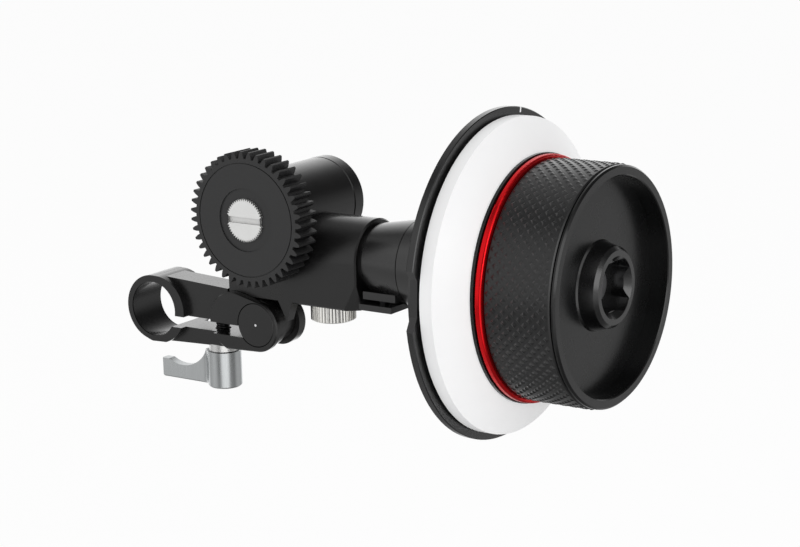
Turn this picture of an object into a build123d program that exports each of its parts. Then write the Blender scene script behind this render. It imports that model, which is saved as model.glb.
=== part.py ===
from build123d import *
import os
from math import acos, asin, atan, cos, hypot, pi, radians, sin, sqrt, tan

os.makedirs("parts", exist_ok=True)

# Follow focus unit for a single 15 mm rod.  Millimetres, +Z up.
# The origin is the centre of the rod bore.  +Y runs along the rod, away from the
# operator's side of the drive gear, and +X runs towards the handwheel.

# ---------------------------------------------------------------- driving sizes
# Rod clamp
rod_diameter = 15.0
rod_clearance = 0.05
rod_ring_wall = 1.6
rod_ring_rise = 0.25
shoulder_radius = 9.35
shoulder_shift = 1.25
clamp_width = 12.0
web_thickness = 8.0
web_top_at_rod = 9.3
web_top_slope = 0.052
web_bottom_at_rod = 9.1
web_bottom_slope = 0.039
slit_top = 1.2
slit_height = 3.1
boss_reach = 7.7
boss_left_radius = 8.2
clamp_bevel = 0.35

# Pivot between the clamp and the gearbox
pivot_reach = 35.2
pivot_drop = 0.4
eye_radius = 6.85
eye_shift = 0.25
eye_drop = 0.45
inner_eye_radius = 6.6
pivot_head_radius = 6.0
pivot_head_height = 1.75
pivot_shank_radius = 4.0
front_ear = 4.9
rear_ear = 3.1
rear_ear_reach = 1.1
tongue_thickness = 4.4
tongue_radius = 5.7
friction_washer = 0.25

# Clamp screw and its lever
lever_x = 19.4
screw_radius = 2.0
lever_hub_radius = 4.65
lever_hub_height = 10.0
lever_reach = 21.2
lever_thickness = 2.5
lever_tip_height = 5.3
lever_blend_radius = 4.5
lever_rounding = 0.4
scallop_radius = 9.8
scallop_reach = 14.0
scallop_rise = 3.85
spacer_height = 2.0
spacer_radius = 4.1

# Gearbox
gear_axis_offset = 3.0
gear_axis_height = 29.9
housing_left_reach = 13.3
housing_right_reach = 28.6
housing_depth = 21.0
pivot_to_floor = 6.75
barrel_radius = 11.4
barrel_length = 25.0
rear_cap_length = 4.5
bearing_radius = 8.0
bearing_width = 4.0
shaft_radius = 4.0
bore_radius = 6.3
housing_bevel = 0.4
corner_cut_height = 7.7
corner_cut_length = 4.0
corner_cut_depth = 3.0
stop_lug_width = 4.6
stop_lug_height = 5.0
stop_lug_thickness = 3.0

# Crossed helical pinions, 45 degree helix on both, so the shafts cross at a right angle
shaft_drop = 10.7
pinion_teeth = 15
pinion_width = 6.0
pinion_backlash = 0.14
pinion_hub_radius = 4.8

# Drive gear
gear_module = 0.8
gear_teeth = 43
gear_width = 7.1
gear_gap = 1.35
gear_recess_radius = 8.4
gear_recess_depth = 0.35
gear_groove_radius = 15.0
gear_screw_radius = 5.8
gear_screw_height = 0.75

# Lock thumbscrew under the gearbox
thumbscrew_offset = 13.7
thumbscrew_radius = 6.05
thumbscrew_height = 5.4

# Split collar that carries the index plate
collar_gap = 0.9
collar_length = 12.1
collar_start_radius = 9.4
collar_slope = 0.17
spigot_radius = 8.0
spigot_length = 11.0
foot_length = 10.0
foot_floor_rise = 0.95
foot_lip = 1.6
foot_slit = 0.9
foot_bar_height = 2.0
foot_setback = 1.9

# Index plate and ring
carrier_length = 21.2
plate_thickness = 2.0
plate_radius = 37.5
ring_radius = 42.0
ring_inner_radius = 30.8
ring_thickness = 2.0
notch_depth = 2.2

# Handwheel
disc_gap = 0.7
disc_outer_radius = 39.95
disc_rim = 3.6
disc_height = 8.8
disc_wall = 3.2
seat_radius = 30.4
disc_seat_length = 4.8
disc_step_inset = 2.6
disc_step_length = 2.2
drum_flange = 0.8
drum_flange_rise = 0.95
red_ring_rise = 0.7
red_ring_width = 2.0
grip_step = 0.1
grip_length = 18.0
grip_wall = 1.55
bezel_width = 1.1
bezel_step = 0.35
bezel_rim = 2.55
dish_depth = 3.8
wheel_floor = 3.0
wheel_hub_radius = 7.0
socket_base_radius = 11.4
socket_ring_radius = 10.0
socket_corner_radius = 7.7
socket_half_width = 6.0
socket_bevel = 0.9
socket_lead = 1.5

# Fits and gaps
running_gap = 0.03
seat_gap = 0.02
free_gap = 0.3

# ---------------------------------------------------------------- places
half_clamp = clamp_width / 2
half_web = web_thickness / 2
rod_bore_radius = rod_diameter / 2 + rod_clearance
rod_ring_radius = rod_bore_radius + rod_ring_wall

pivot_x = pivot_reach
pivot_z = -pivot_drop
slot_front = -half_clamp + front_ear
ear_rear = half_clamp + rear_ear_reach
slot_rear = ear_rear - rear_ear
eye_x = pivot_x + eye_shift
eye_z = pivot_z - eye_drop
eye_sweep = eye_radius + hypot(eye_shift, eye_drop)
slot_radius = eye_sweep + 0.1
tongue_front = (slot_front + slot_rear - tongue_thickness) / 2
tongue_rear = tongue_front + tongue_thickness

gear_x = pivot_x + gear_axis_offset
gear_z = pivot_z + gear_axis_height
pinion_pitch_radius = shaft_drop / 2
pinion_normal_module = 2 * pinion_pitch_radius * cos(radians(45)) / pinion_teeth

front_y = -half_web - 0.05
rear_y = front_y + housing_depth
wheel_y = (front_y + rear_y) / 2
wheel_z = gear_z - shaft_drop
housing_left = gear_x - housing_left_reach
housing_right = gear_x + housing_right_reach
housing_floor = pivot_z + pivot_to_floor
housing_top_radius = housing_depth / 2
barrel_rear = front_y + barrel_length

left_bearing_end = housing_left + 2 + bearing_width
right_bearing_start = housing_right - 3 - bearing_width
front_bearing_end = front_y + 0.15 + bearing_width
rear_bearing_start = barrel_rear - 2.5 - bearing_width

gear_back = front_y - gear_gap
gear_front = gear_back - gear_width
gear_floor = gear_front + gear_recess_depth

collar_left = housing_right + collar_gap
collar_right = collar_left + collar_length
carrier_left = collar_right + 0.25
plate_rear = carrier_left + carrier_length
plate_front = plate_rear + plate_thickness
ring_front = plate_front + ring_thickness
disc_rear = ring_front + disc_gap
disc_front = disc_rear + disc_height
red_ring_radius = seat_radius + red_ring_rise
grip_radius = seat_radius - grip_step
bezel_radius = grip_radius - bezel_step
dish_radius = bezel_radius - bezel_rim
red_ring_rear = disc_front + 0.05 + drum_flange
grip_rear = red_ring_rear + red_ring_width + 0.05
grip_front = grip_rear + grip_length
bezel_rear = grip_front + 0.3
wheel_front = bezel_rear + bezel_width
dish_floor = bezel_rear - dish_depth
floor_rear = dish_floor - wheel_floor
wheel_hub_rear = plate_front + 0.4


# ---------------------------------------------------------------- simple solids
def save(name, piece):
    export_step(piece, f"parts/{name}.step")


def block(x0, x1, y0, y1, z0, z1):
    middle = Pos((x0 + x1) / 2, (y0 + y1) / 2, (z0 + z1) / 2)
    return middle * Box(x1 - x0, y1 - y0, z1 - z0)


def bar_x(x0, x1, y, z, radius):
    return Pos((x0 + x1) / 2, y, z) * Rot(0, 90, 0) * Cylinder(radius, x1 - x0)


def bar_y(y0, y1, x, z, radius):
    return Pos(x, (y0 + y1) / 2, z) * Rot(90, 0, 0) * Cylinder(radius, y1 - y0)


def bar_z(z0, z1, x, y, radius):
    return Pos(x, y, (z0 + z1) / 2) * Cylinder(radius, z1 - z0)


def tube_x(x0, x1, outer, inner):
    return bar_x(x0, x1, wheel_y, wheel_z, outer) - bar_x(x0, x1, wheel_y, wheel_z, inner)


def tube_y(y0, y1, x, z, outer, inner):
    return bar_y(y0, y1, x, z, outer) - bar_y(y0, y1, x, z, inner)


def turned_x(points):
    """A solid turned about the handwheel axis, from (x, radius) points."""
    outline = Plane.XZ * make_face(Polyline(*points, close=True))
    return Pos(0, wheel_y, wheel_z) * revolve(outline, Axis.X)


def turned_y(points):
    """A solid turned about the gear shaft's axis, from (y, radius) points."""
    outline = Plane.YZ * make_face(Polyline(*points, close=True))
    return Pos(gear_x, 0, gear_z) * revolve(outline, Axis.Y)


def slab_y(outline, y0, y1):
    """An XZ outline made solid between two Y places."""
    return extrude(Plane((0, y1, 0), x_dir=(1, 0, 0), z_dir=(0, -1, 0)) * outline, y1 - y0)


def slab_x(outline, x0, x1):
    """A YZ outline made solid between two X places."""
    return extrude(Plane((x0, 0, 0), x_dir=(0, 1, 0), z_dir=(1, 0, 0)) * outline, x1 - x0)


def bearing(bar, start, end, *place):
    """A ball bearing simplified to its two races and the shield between them."""
    shield = 0.35
    race = (bearing_radius - shaft_radius) / 4
    outer = bar(start, end, *place, bearing_radius) - bar(start, end, *place, bearing_radius - race)
    inner = bar(start, end, *place, shaft_radius + race)
    cover = bar(start + shield, end - shield, *place, bearing_radius - race)
    return outer + inner + cover - bar(start, end, *place, shaft_radius + seat_gap)


def gear_outline(teeth, pitch_radius, pressure_angle, addendum, dedendum, thinning):
    """Involute gear outline about the origin; thinning is taken off each tooth at the pitch."""
    base = pitch_radius * cos(pressure_angle)
    tip = pitch_radius + addendum
    root = pitch_radius - dedendum
    start = max(base, root)
    involute_at_pitch = tan(pressure_angle) - pressure_angle
    half_tooth = (pi / 2 - thinning / (2 * pitch_radius) * teeth) / teeth + involute_at_pitch

    def flank(radius, middle, side):
        roll = acos(min(1, base / radius))
        angle = middle + side * (half_tooth - (tan(roll) - roll))
        return (radius * cos(angle), radius * sin(angle))

    radii = [start, (2 * start + tip) / 3, (start + 2 * tip) / 3, tip]
    edges = []
    for tooth in range(teeth):
        middle = 2 * pi * tooth / teeth
        rising = [flank(radius, middle, -1) for radius in radii]
        falling = [flank(radius, middle, 1) for radius in reversed(radii)]
        angle = half_tooth
        if root < start:
            foot = (root * cos(middle - angle), root * sin(middle - angle))
            edges.append(Line(foot, rising[0]))
        else:
            foot = rising[0]
        edges.append(Spline(*rising))
        edges.append(ThreePointArc(rising[-1], (tip * cos(middle), tip * sin(middle)), falling[0]))
        edges.append(Spline(*falling))
        heel = falling[-1]
        if root < start:
            heel = (root * cos(middle + angle), root * sin(middle + angle))
            edges.append(Line(falling[-1], heel))
        gap = middle + pi / teeth
        next_middle = middle + 2 * pi / teeth
        next_foot = flank(start, next_middle, -1)
        if root < start:
            next_foot = (root * cos(next_middle - angle), root * sin(next_middle - angle))
        bottom = hypot(*foot)
        edges.append(ThreePointArc(heel, (bottom * cos(gap), bottom * sin(gap)), next_foot))
    return make_face(edges)


# ---------------------------------------------------------------- rod clamp
# One casting: the ring round the rod, the web, and a fork for the gearbox's tongue.
# A slit joins the rod bore to the pivot bore, so one screw closes on both.
step_x = housing_left - free_gap
step_z = housing_floor - free_gap
far_x = eye_x + 2 * eye_radius


def web_bottom(x):
    """Height of the clamp's lower edge, which rises from the rod to the pivot."""
    return web_bottom_slope * x - web_bottom_at_rod


above_web_bottom = make_face(Polyline(
    (-shoulder_radius, web_bottom(-shoulder_radius)),
    (far_x, web_bottom(far_x)),
    (far_x, 2 * shoulder_radius),
    (-shoulder_radius, 2 * shoulder_radius),
    close=True))
web_outline = make_face(Polyline(
    (0, web_top_at_rod),
    (step_x, web_top_at_rod - web_top_slope * step_x),
    (step_x, step_z),
    (pivot_x, step_z),
    (pivot_x, web_bottom(pivot_x)),
    (0, web_bottom(0)),
    close=True))
rod_ring_outline = Pos(0, rod_ring_rise) * Circle(rod_ring_radius)
rod_ring_outline += (Pos(shoulder_shift, 0) * Circle(shoulder_radius)) & above_web_bottom
rod_ring = slab_y(rod_ring_outline, -half_clamp, half_clamp)
web = slab_y(web_outline, -half_web, half_web)

# The front boss has a round left end and narrows to the eye round the pivot pin.
eye_outline = Pos(eye_x, eye_z) * Circle(eye_radius)
boss_left = Pos(eye_x - boss_reach, pivot_z) * Circle(boss_left_radius)
boss_outline = make_hull(boss_left.edges() + eye_outline.edges()) & above_web_bottom
front_boss = slab_y(boss_outline, -half_clamp, -half_web + 0.5)
front_boss = chamfer(front_boss.edges().group_by(Axis.Y)[0], clamp_bevel)
front_boss -= block(0, far_x, front_y - free_gap, 0, -shoulder_radius, 2 * shoulder_radius)
boss_foot = slab_y(boss_outline, front_y - free_gap, -half_web + 0.5)
boss_foot &= block(0, pivot_x, front_y - free_gap, 0, -shoulder_radius, step_z)
inner_eye = bar_y(front_y - free_gap, slot_front, pivot_x, pivot_z, inner_eye_radius)

# The rear boss is lower than the gearbox's floor and ends in the rear ear.
rear_outline = Pos(eye_x - boss_reach / 2, eye_z) * SlotCenterToCenter(boss_reach, 2 * eye_radius)
rear_boss = slab_y(rear_outline, half_web - 0.5, ear_rear)
rear_boss = chamfer(rear_boss.edges().group_by(Axis.Y)[-1], clamp_bevel)
rod_clamp = rod_ring + web + front_boss + boss_foot + inner_eye + rear_boss

insert_radius = 3.0
insert_depth = 5.6
washer_seat = -web_bottom_at_rod + 0.9
slot_cut = bar_y(slot_front, slot_rear, pivot_x, pivot_z, slot_radius)
slot_cut += block(pivot_x - slot_radius, pivot_x + slot_radius, slot_front, slot_rear,
                  pivot_z, pivot_z + 2 * slot_radius)
rod_clamp -= slot_cut
rod_clamp -= bar_y(-half_clamp, half_clamp, 0, 0, rod_bore_radius)
head_seat = -half_clamp + pivot_head_height + seat_gap
rod_clamp -= bar_y(-half_clamp, head_seat, pivot_x, pivot_z, pivot_head_radius + running_gap)
rod_clamp -= bar_y(-half_clamp, ear_rear, pivot_x, pivot_z, pivot_shank_radius + running_gap)
retainer_seat = ear_rear - 1.4
retainer_radius = 4.9
rod_clamp -= bar_y(retainer_seat, ear_rear, pivot_x, pivot_z, retainer_radius + 0.1)
rod_clamp -= block(0, pivot_x, -half_clamp, ear_rear, -slit_top - slit_height, -slit_top)
rod_clamp -= bar_z(-slit_top, -slit_top + insert_depth, lever_x, 0, insert_radius)
rod_clamp -= bar_z(-shoulder_radius, -slit_top, lever_x, 0, screw_radius + 0.2)
rod_clamp -= bar_z(-shoulder_radius, washer_seat, lever_x, 0, spacer_radius + 0.15)
bore_mouth = Rot(90, 0, 0) * Cone(rod_bore_radius + clamp_bevel, rod_bore_radius, clamp_bevel)
rod_clamp -= Pos(0, -half_clamp + clamp_bevel / 2, 0) * bore_mouth
rod_clamp -= Pos(0, half_clamp - clamp_bevel / 2, 0) * Rot(0, 0, 180) * bore_mouth
save("rod_clamp", rod_clamp)

# Threaded insert in the upper jaw, for the clamp screw.
insert_top = -slit_top + insert_depth - 0.1
thread_insert = bar_z(-slit_top, insert_top, lever_x, 0, insert_radius - seat_gap)
thread_insert -= bar_z(-slit_top, insert_top, lever_x, 0, screw_radius + running_gap)
save("clamp_thread_insert", thread_insert)

# Washers that brake the tongue in the fork, one on each face.
front_washer = tube_y(slot_front, slot_front + friction_washer, pivot_x, pivot_z,
                      tongue_radius - 0.2, pivot_shank_radius + 0.1)
rear_washer = tube_y(slot_rear - friction_washer, slot_rear, pivot_x, pivot_z,
                     tongue_radius - 0.2, pivot_shank_radius + 0.1)
save("pivot_friction_washers", Compound([front_washer.solid(), rear_washer.solid()]))

# Silver spacer between the lower jaw and the lever.
spacer_bottom = washer_seat - spacer_height
lever_spacer = bar_z(spacer_bottom, washer_seat, lever_x, 0, spacer_radius)
lever_spacer -= bar_z(spacer_bottom, washer_seat, lever_x, 0, screw_radius + 0.1)
save("lever_spacer", lever_spacer)

# ---------------------------------------------------------------- clamp lever
# Turned hub with a thin flat handle that runs into it in a blend, scalloped on top
# for a fingertip.
hub_top = spacer_bottom - 0.2
hub_bottom = hub_top - lever_hub_height
lever_tip = lever_x - lever_reach
tip_top = hub_bottom + lever_tip_height
lever_plan = Pos(lever_x, 0) * Circle(lever_hub_radius)
lever_plan += Pos(lever_x - lever_reach / 2, 0) * Rectangle(lever_reach, lever_thickness)
hub_corners = lever_plan.vertices().filter_by(lambda v: v.X > lever_tip + 1)
lever_plan = fillet(hub_corners, lever_blend_radius)
tip_corners = lever_plan.vertices().filter_by(lambda v: v.X < lever_tip + 1)
lever_plan = fillet(tip_corners, lever_rounding)
clamp_lever = extrude(Plane((0, 0, hub_bottom)) * lever_plan, lever_hub_height)
clamp_lever = chamfer(clamp_lever.edges().group_by(Axis.Z)[0], lever_rounding)
scallop_x = lever_x - scallop_reach
scallop_z = hub_top + scallop_rise
clamp_lever -= bar_y(-lever_hub_radius, lever_hub_radius, scallop_x, scallop_z, scallop_radius)
clamp_lever -= block(lever_tip, scallop_x, -lever_thickness, lever_thickness, tip_top, hub_top)
end_seat = hub_bottom + 2.4
end_head_radius = 2.75
clamp_lever -= bar_z(hub_bottom, hub_top, lever_x, 0, screw_radius + seat_gap)
clamp_lever -= bar_z(hub_bottom, end_seat, lever_x, 0, end_head_radius + 0.1)
save("clamp_lever", clamp_lever)

# Screw that runs from the lever into the upper jaw.
screw_top = insert_top - 0.4
screw_bottom = end_seat + 0.3
end_screw_radius = 1.25
end_screw_reach = 4.5
clamp_screw = bar_z(screw_bottom, screw_top, lever_x, 0, screw_radius)
clamp_screw -= bar_z(screw_bottom, screw_bottom + end_screw_reach + 0.5, lever_x, 0,
                     end_screw_radius + seat_gap)
save("clamp_screw", clamp_screw)

# Small screw that holds the lever on the clamp screw, sunk in the hub's underside.
end_screw = bar_z(end_seat - 1.5, end_seat, lever_x, 0, end_head_radius)
end_screw += bar_z(end_seat, end_seat + end_screw_reach, lever_x, 0, end_screw_radius)
end_screw -= Pos(0, 0, end_seat - 1.5) * extrude(
    Pos(lever_x, 0) * RegularPolygon(1.0, 6), 0.9)
save("lever_end_screw", end_screw)

# ---------------------------------------------------------------- gearbox housing
# Block with a round top about the handwheel axis, the gear shaft's barrel across it,
# and a tongue below that turns in the clamp's fork.
housing = block(housing_left, housing_right, front_y, rear_y, housing_floor, wheel_z)
housing = chamfer(housing.edges().filter_by(Axis.X).group_by(Axis.Z)[0], housing_bevel)
housing += bar_x(housing_left, housing_right, wheel_y, wheel_z, housing_top_radius)
housing = chamfer(housing.faces().sort_by(Axis.X)[0].outer_wire().edges(), housing_bevel)
housing = chamfer(housing.faces().sort_by(Axis.X)[-1].outer_wire().edges(), housing_bevel)
corner_on_edge = Vector(housing_right, front_y, housing_floor + corner_cut_height)
corner_on_floor = Vector(housing_right - corner_cut_length, front_y, housing_floor)
corner_on_end = Vector(housing_right, front_y + corner_cut_depth, housing_floor)
corner_normal = (corner_on_floor - corner_on_edge).cross(corner_on_end - corner_on_edge)
if corner_normal.X < 0:
    corner_normal = corner_normal * -1
corner_plane = Plane(origin=corner_on_edge, z_dir=corner_normal)
housing = split(housing, bisect_by=corner_plane, keep=Keep.BOTTOM)
barrel = bar_y(front_y, barrel_rear, gear_x, gear_z, barrel_radius)
housing += chamfer(barrel.edges().filter_by(GeomType.CIRCLE), 0.25)

tongue = bar_y(tongue_front, tongue_rear, pivot_x, pivot_z, tongue_radius)
tongue += block(pivot_x - tongue_radius, pivot_x + tongue_radius, tongue_front, tongue_rear,
                pivot_z, housing_floor + 1)
housing -= bar_y(tongue_rear, ear_rear + free_gap, pivot_x, pivot_z, eye_sweep + 0.1)
housing += tongue
lug_left = pivot_x + pivot_to_floor - 0.4
lug_top = housing_floor + housing_bevel
stop_lug = make_face(Polyline(
    (lug_left, lug_top),
    (lug_left + stop_lug_width, lug_top),
    (lug_left + 0.6 * stop_lug_width, housing_floor - stop_lug_height),
    close=True))
housing += slab_y(stop_lug, front_y, front_y + stop_lug_thickness)
housing -= bar_y(tongue_front, tongue_rear, pivot_x, pivot_z, pivot_shank_radius + seat_gap)

seat_radius_in_housing = bearing_radius + seat_gap
pad_radius = 2.0
thumb_x = gear_x + thumbscrew_offset
housing -= bar_x(housing_left, housing_right, wheel_y, wheel_z, bore_radius)
housing -= bar_x(housing_left, left_bearing_end, wheel_y, wheel_z, seat_radius_in_housing)
housing -= bar_x(right_bearing_start, housing_right, wheel_y, wheel_z, seat_radius_in_housing)
housing -= bar_y(front_y, barrel_rear, gear_x, gear_z, bore_radius)
housing -= bar_y(front_y, front_bearing_end, gear_x, gear_z, seat_radius_in_housing)
housing -= bar_y(rear_bearing_start, barrel_rear, gear_x, gear_z, seat_radius_in_housing)
housing -= bar_z(housing_floor, wheel_z, thumb_x, wheel_y, pad_radius + 0.05)
collar_grub_x = housing_right - 1.5
grub_radius = 1.0
housing -= bar_z(housing_floor, wheel_z, collar_grub_x, wheel_y, grub_radius + seat_gap)
save("gearbox_housing", housing)

# Plug that closes the left end of the handwheel shaft's bore.
end_cap = bar_x(housing_left, housing_left + 1.2, wheel_y, wheel_z, bearing_radius)
save("housing_end_cap", end_cap)

# Rear cap of the barrel, with a spigot that holds the rear bearing's bore shut.
cap_rear = barrel_rear + rear_cap_length
rear_cap = turned_y([
    (barrel_rear - 0.9, 0),
    (barrel_rear - 0.9, bearing_radius - seat_gap),
    (barrel_rear + 0.05, bearing_radius - seat_gap),
    (barrel_rear + 0.05, barrel_radius - 0.25),
    (barrel_rear + 0.3, barrel_radius),
    (cap_rear - 0.6, barrel_radius),
    (cap_rear, barrel_radius - 0.6),
    (cap_rear, 0)])
cap_screw_radius = 1.0
cap_screw_circle = 9.7
for angle in (90, 210, 330):
    place_x = gear_x + cap_screw_circle * cos(radians(angle))
    place_z = gear_z + cap_screw_circle * sin(radians(angle))
    rear_cap -= bar_y(barrel_rear, cap_rear, place_x, place_z, cap_screw_radius + 0.05)
    rear_cap -= bar_y(cap_rear - 1.5, cap_rear, place_x, place_z, 2 * cap_screw_radius * 0.8)
save("barrel_rear_cap", rear_cap)

# Three cap screws that pull the rear cap on; their tips stop in the cap's rim.
cap_screws = []
for angle in (90, 210, 330):
    place_x = gear_x + cap_screw_circle * cos(radians(angle))
    place_z = gear_z + cap_screw_circle * sin(radians(angle))
    screw = bar_y(barrel_rear + 0.1, cap_rear - 1.5, place_x, place_z, cap_screw_radius)
    screw += bar_y(cap_rear - 1.5, cap_rear - 0.2, place_x, place_z, 1.5)
    cap_screws.append(screw.solid())
save("rear_cap_screws", Compound(cap_screws))

# Friction pad that the lock thumbscrew presses on the shaft's spacer.
spacer_tube_radius = 5.2
pad_top = wheel_z - spacer_tube_radius - 0.15
pad_bottom = pad_top - 3.5
brake_pad = bar_z(pad_bottom, pad_top, thumb_x, wheel_y, pad_radius)
save("brake_pad", brake_pad)

# ---------------------------------------------------------------- pivot pin
# Pressed in the tongue; its wide head fills the front boss and is what the slit grips.
retainer_thickness = 0.6
pin_front = -half_clamp
pin_rear = retainer_seat - 0.1
pivot_pin = bar_y(pin_front, head_seat - seat_gap, pivot_x, pivot_z, pivot_head_radius)
pivot_pin = chamfer(pivot_pin.edges().group_by(Axis.Y)[0], 0.25)
pivot_pin += bar_y(pin_front + 1, pin_rear, pivot_x, pivot_z, pivot_shank_radius)
retainer_screw_radius = 1.5
retainer_screw_reach = 4.5
pivot_pin -= bar_y(pin_rear - retainer_screw_reach - 0.5, pin_rear, pivot_x, pivot_z,
                   retainer_screw_radius + seat_gap)
save("pivot_pin", pivot_pin)

retainer_front = retainer_seat
retainer_rear = retainer_front + retainer_thickness
retainer = tube_y(retainer_front + 0.05, retainer_rear, pivot_x, pivot_z,
                  retainer_radius, retainer_screw_radius + 0.05)
save("pivot_retaining_washer", retainer)

retainer_screw = bar_y(pin_rear - retainer_screw_reach, retainer_rear, pivot_x, pivot_z,
                       retainer_screw_radius)
retainer_screw += bar_y(retainer_rear, ear_rear - 0.1, pivot_x, pivot_z, 2.75)
save("pivot_retaining_screw", retainer_screw)

# ---------------------------------------------------------------- lock thumbscrew
thumb_top = housing_floor - free_gap
thumb_bottom = thumb_top - thumbscrew_height
thumbscrew = bar_z(thumb_bottom, thumb_top, thumb_x, wheel_y, thumbscrew_radius)
thumbscrew = chamfer(thumbscrew.edges().filter_by(GeomType.CIRCLE), 0.3)
thumbscrew += bar_z(thumb_top - 1, pad_bottom - 0.1, thumb_x, wheel_y, pad_radius)
save("lock_thumbscrew", thumbscrew)

# ---------------------------------------------------------------- pinions and shafts
tilt = atan(tan(radians(20)) / cos(radians(45)))
transverse_module = pinion_normal_module / cos(radians(45))
pinion_face = gear_outline(pinion_teeth, pinion_pitch_radius, tilt,
                           0.9 * pinion_normal_module, 1.15 * pinion_normal_module,
                           pinion_backlash)
pinion_twist = pinion_width / pinion_pitch_radius * 180 / pi


def pinion(phase):
    """A right-handed helical pinion along +Z, turned so that its middle has this phase."""
    start = Rot(0, 0, phase - pinion_twist / 2) * pinion_face
    return Solid.extrude_linear_with_rotation(
        start.face(), (0, 0, 0), (0, 0, pinion_width), pinion_twist)


def along_x(solid):
    """Carries +Z to +X and +X to +Y, so a hand of thread is kept."""
    return Plane((0, 0, 0), x_dir=(0, 1, 0), z_dir=(1, 0, 0)) * solid


def along_y(solid):
    """Carries +Z to +Y and +X to +Z, so a hand of thread is kept."""
    return Plane((0, 0, 0), x_dir=(0, 0, 1), z_dir=(0, 1, 0)) * solid


# A tooth of the handwheel's pinion points up, into a gap of the gear shaft's pinion.
tooth_pitch_angle = 360 / pinion_teeth
wheel_pinion = along_x(pinion(90))
wheel_pinion = Pos(gear_x - pinion_width / 2, wheel_y, wheel_z) * wheel_pinion
wheel_pinion += bar_x(left_bearing_end + 0.05, gear_x - pinion_width / 2 + 0.5,
                      wheel_y, wheel_z, pinion_hub_radius - 0.3)
wheel_pinion -= bar_x(housing_left, housing_right, wheel_y, wheel_z, shaft_radius + seat_gap)
save("wheel_shaft_pinion", wheel_pinion)

gear_pinion = along_y(pinion(180 + tooth_pitch_angle / 2))
gear_pinion = Pos(gear_x, wheel_y - pinion_width / 2, gear_z) * gear_pinion
gear_pinion += bar_y(wheel_y + pinion_width / 2 - 0.5, rear_bearing_start - 0.05,
                     gear_x, gear_z, pinion_hub_radius - 0.3)
gear_pinion -= bar_y(front_y, barrel_rear, gear_x, gear_z, shaft_radius + seat_gap)
save("gear_shaft_pinion", gear_pinion)

# Handwheel shaft, with the wheel's screw hole in its right end.
wheel_shaft_left = housing_left + 1.4
screw_head_seat = dish_floor - 2.2
wheel_shaft_right = screw_head_seat - 1.6
wheel_screw_radius = 2.0
wheel_screw_length = 11.0
wheel_shaft = bar_x(wheel_shaft_left, wheel_shaft_right, wheel_y, wheel_z, shaft_radius)
wheel_shaft = chamfer(wheel_shaft.edges().filter_by(GeomType.CIRCLE), 0.3)
wheel_shaft -= bar_x(wheel_shaft_right - wheel_screw_length - 1, wheel_shaft_right, wheel_y, wheel_z,
                     wheel_screw_radius + seat_gap)
save("wheel_shaft", wheel_shaft)

wheel_clip = tube_x(left_bearing_end - bearing_width - 0.6, left_bearing_end - bearing_width - 0.05,
                    shaft_radius + 1.2, shaft_radius + seat_gap)
save("wheel_shaft_clip", wheel_clip)

# Spacer tube between the pinion and the right bearing; the brake pad bears on it.
shaft_spacer = tube_x(gear_x + pinion_width / 2 + 0.1, right_bearing_start - 0.05,
                      spacer_tube_radius, shaft_radius + seat_gap)
save("wheel_shaft_spacer", shaft_spacer)

left_bearing = bearing(bar_x, left_bearing_end - bearing_width, left_bearing_end, wheel_y, wheel_z)
save("wheel_bearing_left", left_bearing)
right_bearing = bearing(bar_x, right_bearing_start, right_bearing_start + bearing_width,
                        wheel_y, wheel_z)
save("wheel_bearing_right", right_bearing)

# Gear shaft: a flange carries the drive gear, and a nose centres it.
nose_front = gear_floor + 0.15
flange_front = gear_back + 0.02
flange_rear = front_y - 0.25
gear_screw_shank = 2.0
gear_screw_length = 7.0
gear_shaft = turned_y([
    (nose_front, 0),
    (nose_front, shaft_radius),
    (flange_front, shaft_radius),
    (flange_front, gear_recess_radius),
    (flange_rear, gear_recess_radius),
    (flange_rear, shaft_radius + 1),
    (front_y + 0.1, shaft_radius + 1),
    (front_y + 0.1, shaft_radius),
    (barrel_rear - 1.1, shaft_radius),
    (barrel_rear - 1.1, 0)])
pin_circle = 6.2
pin_radius = 0.8
pin_places = [(gear_x - pin_circle, gear_z), (gear_x + pin_circle, gear_z)]
for place_x, place_z in pin_places:
    gear_shaft -= bar_y(flange_front, flange_rear, place_x, place_z, pin_radius + 0.01)
gear_shaft -= bar_y(nose_front, nose_front + gear_screw_length + 1, gear_x, gear_z, gear_screw_shank + seat_gap)
save("gear_shaft", gear_shaft)

gear_clip = tube_y(rear_bearing_start + bearing_width + 0.05, rear_bearing_start + bearing_width + 0.6,
                   gear_x, gear_z, shaft_radius + 1.2, shaft_radius + seat_gap)
save("gear_shaft_clip", gear_clip)

front_bearing = bearing(bar_y, front_bearing_end - bearing_width, front_bearing_end, gear_x, gear_z)
save("gear_bearing_front", front_bearing)
rear_bearing = bearing(bar_y, rear_bearing_start, rear_bearing_start + bearing_width, gear_x, gear_z)
save("gear_bearing_rear", rear_bearing)

# ---------------------------------------------------------------- drive gear
gear_pitch_radius = gear_module * gear_teeth / 2
gear_face = gear_outline(gear_teeth, gear_pitch_radius, radians(20), gear_module,
                         1.25 * gear_module, 0.08)
drive_gear = Pos(gear_x, 0, gear_z) * slab_y(gear_face, gear_front, gear_back)
drive_gear -= bar_y(gear_front, gear_floor, gear_x, gear_z, gear_recess_radius)
drive_gear -= bar_y(gear_floor, gear_back, gear_x, gear_z, shaft_radius + seat_gap)
drive_gear -= tube_y(gear_front, gear_front + 0.25, gear_x, gear_z,
                     gear_groove_radius + 0.15, gear_groove_radius - 0.15)
pin_depth = 2.0
for place_x, place_z in pin_places:
    drive_gear -= bar_y(gear_back - pin_depth - 0.1, gear_back, place_x, place_z, pin_radius + 0.05)
save("drive_gear", drive_gear)

drive_pins = []
for place_x, place_z in pin_places:
    pin = bar_y(gear_back - pin_depth, flange_rear - 0.05, place_x, place_z, pin_radius)
    drive_pins.append(pin.solid())
save("gear_drive_pins", Compound(drive_pins))

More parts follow.
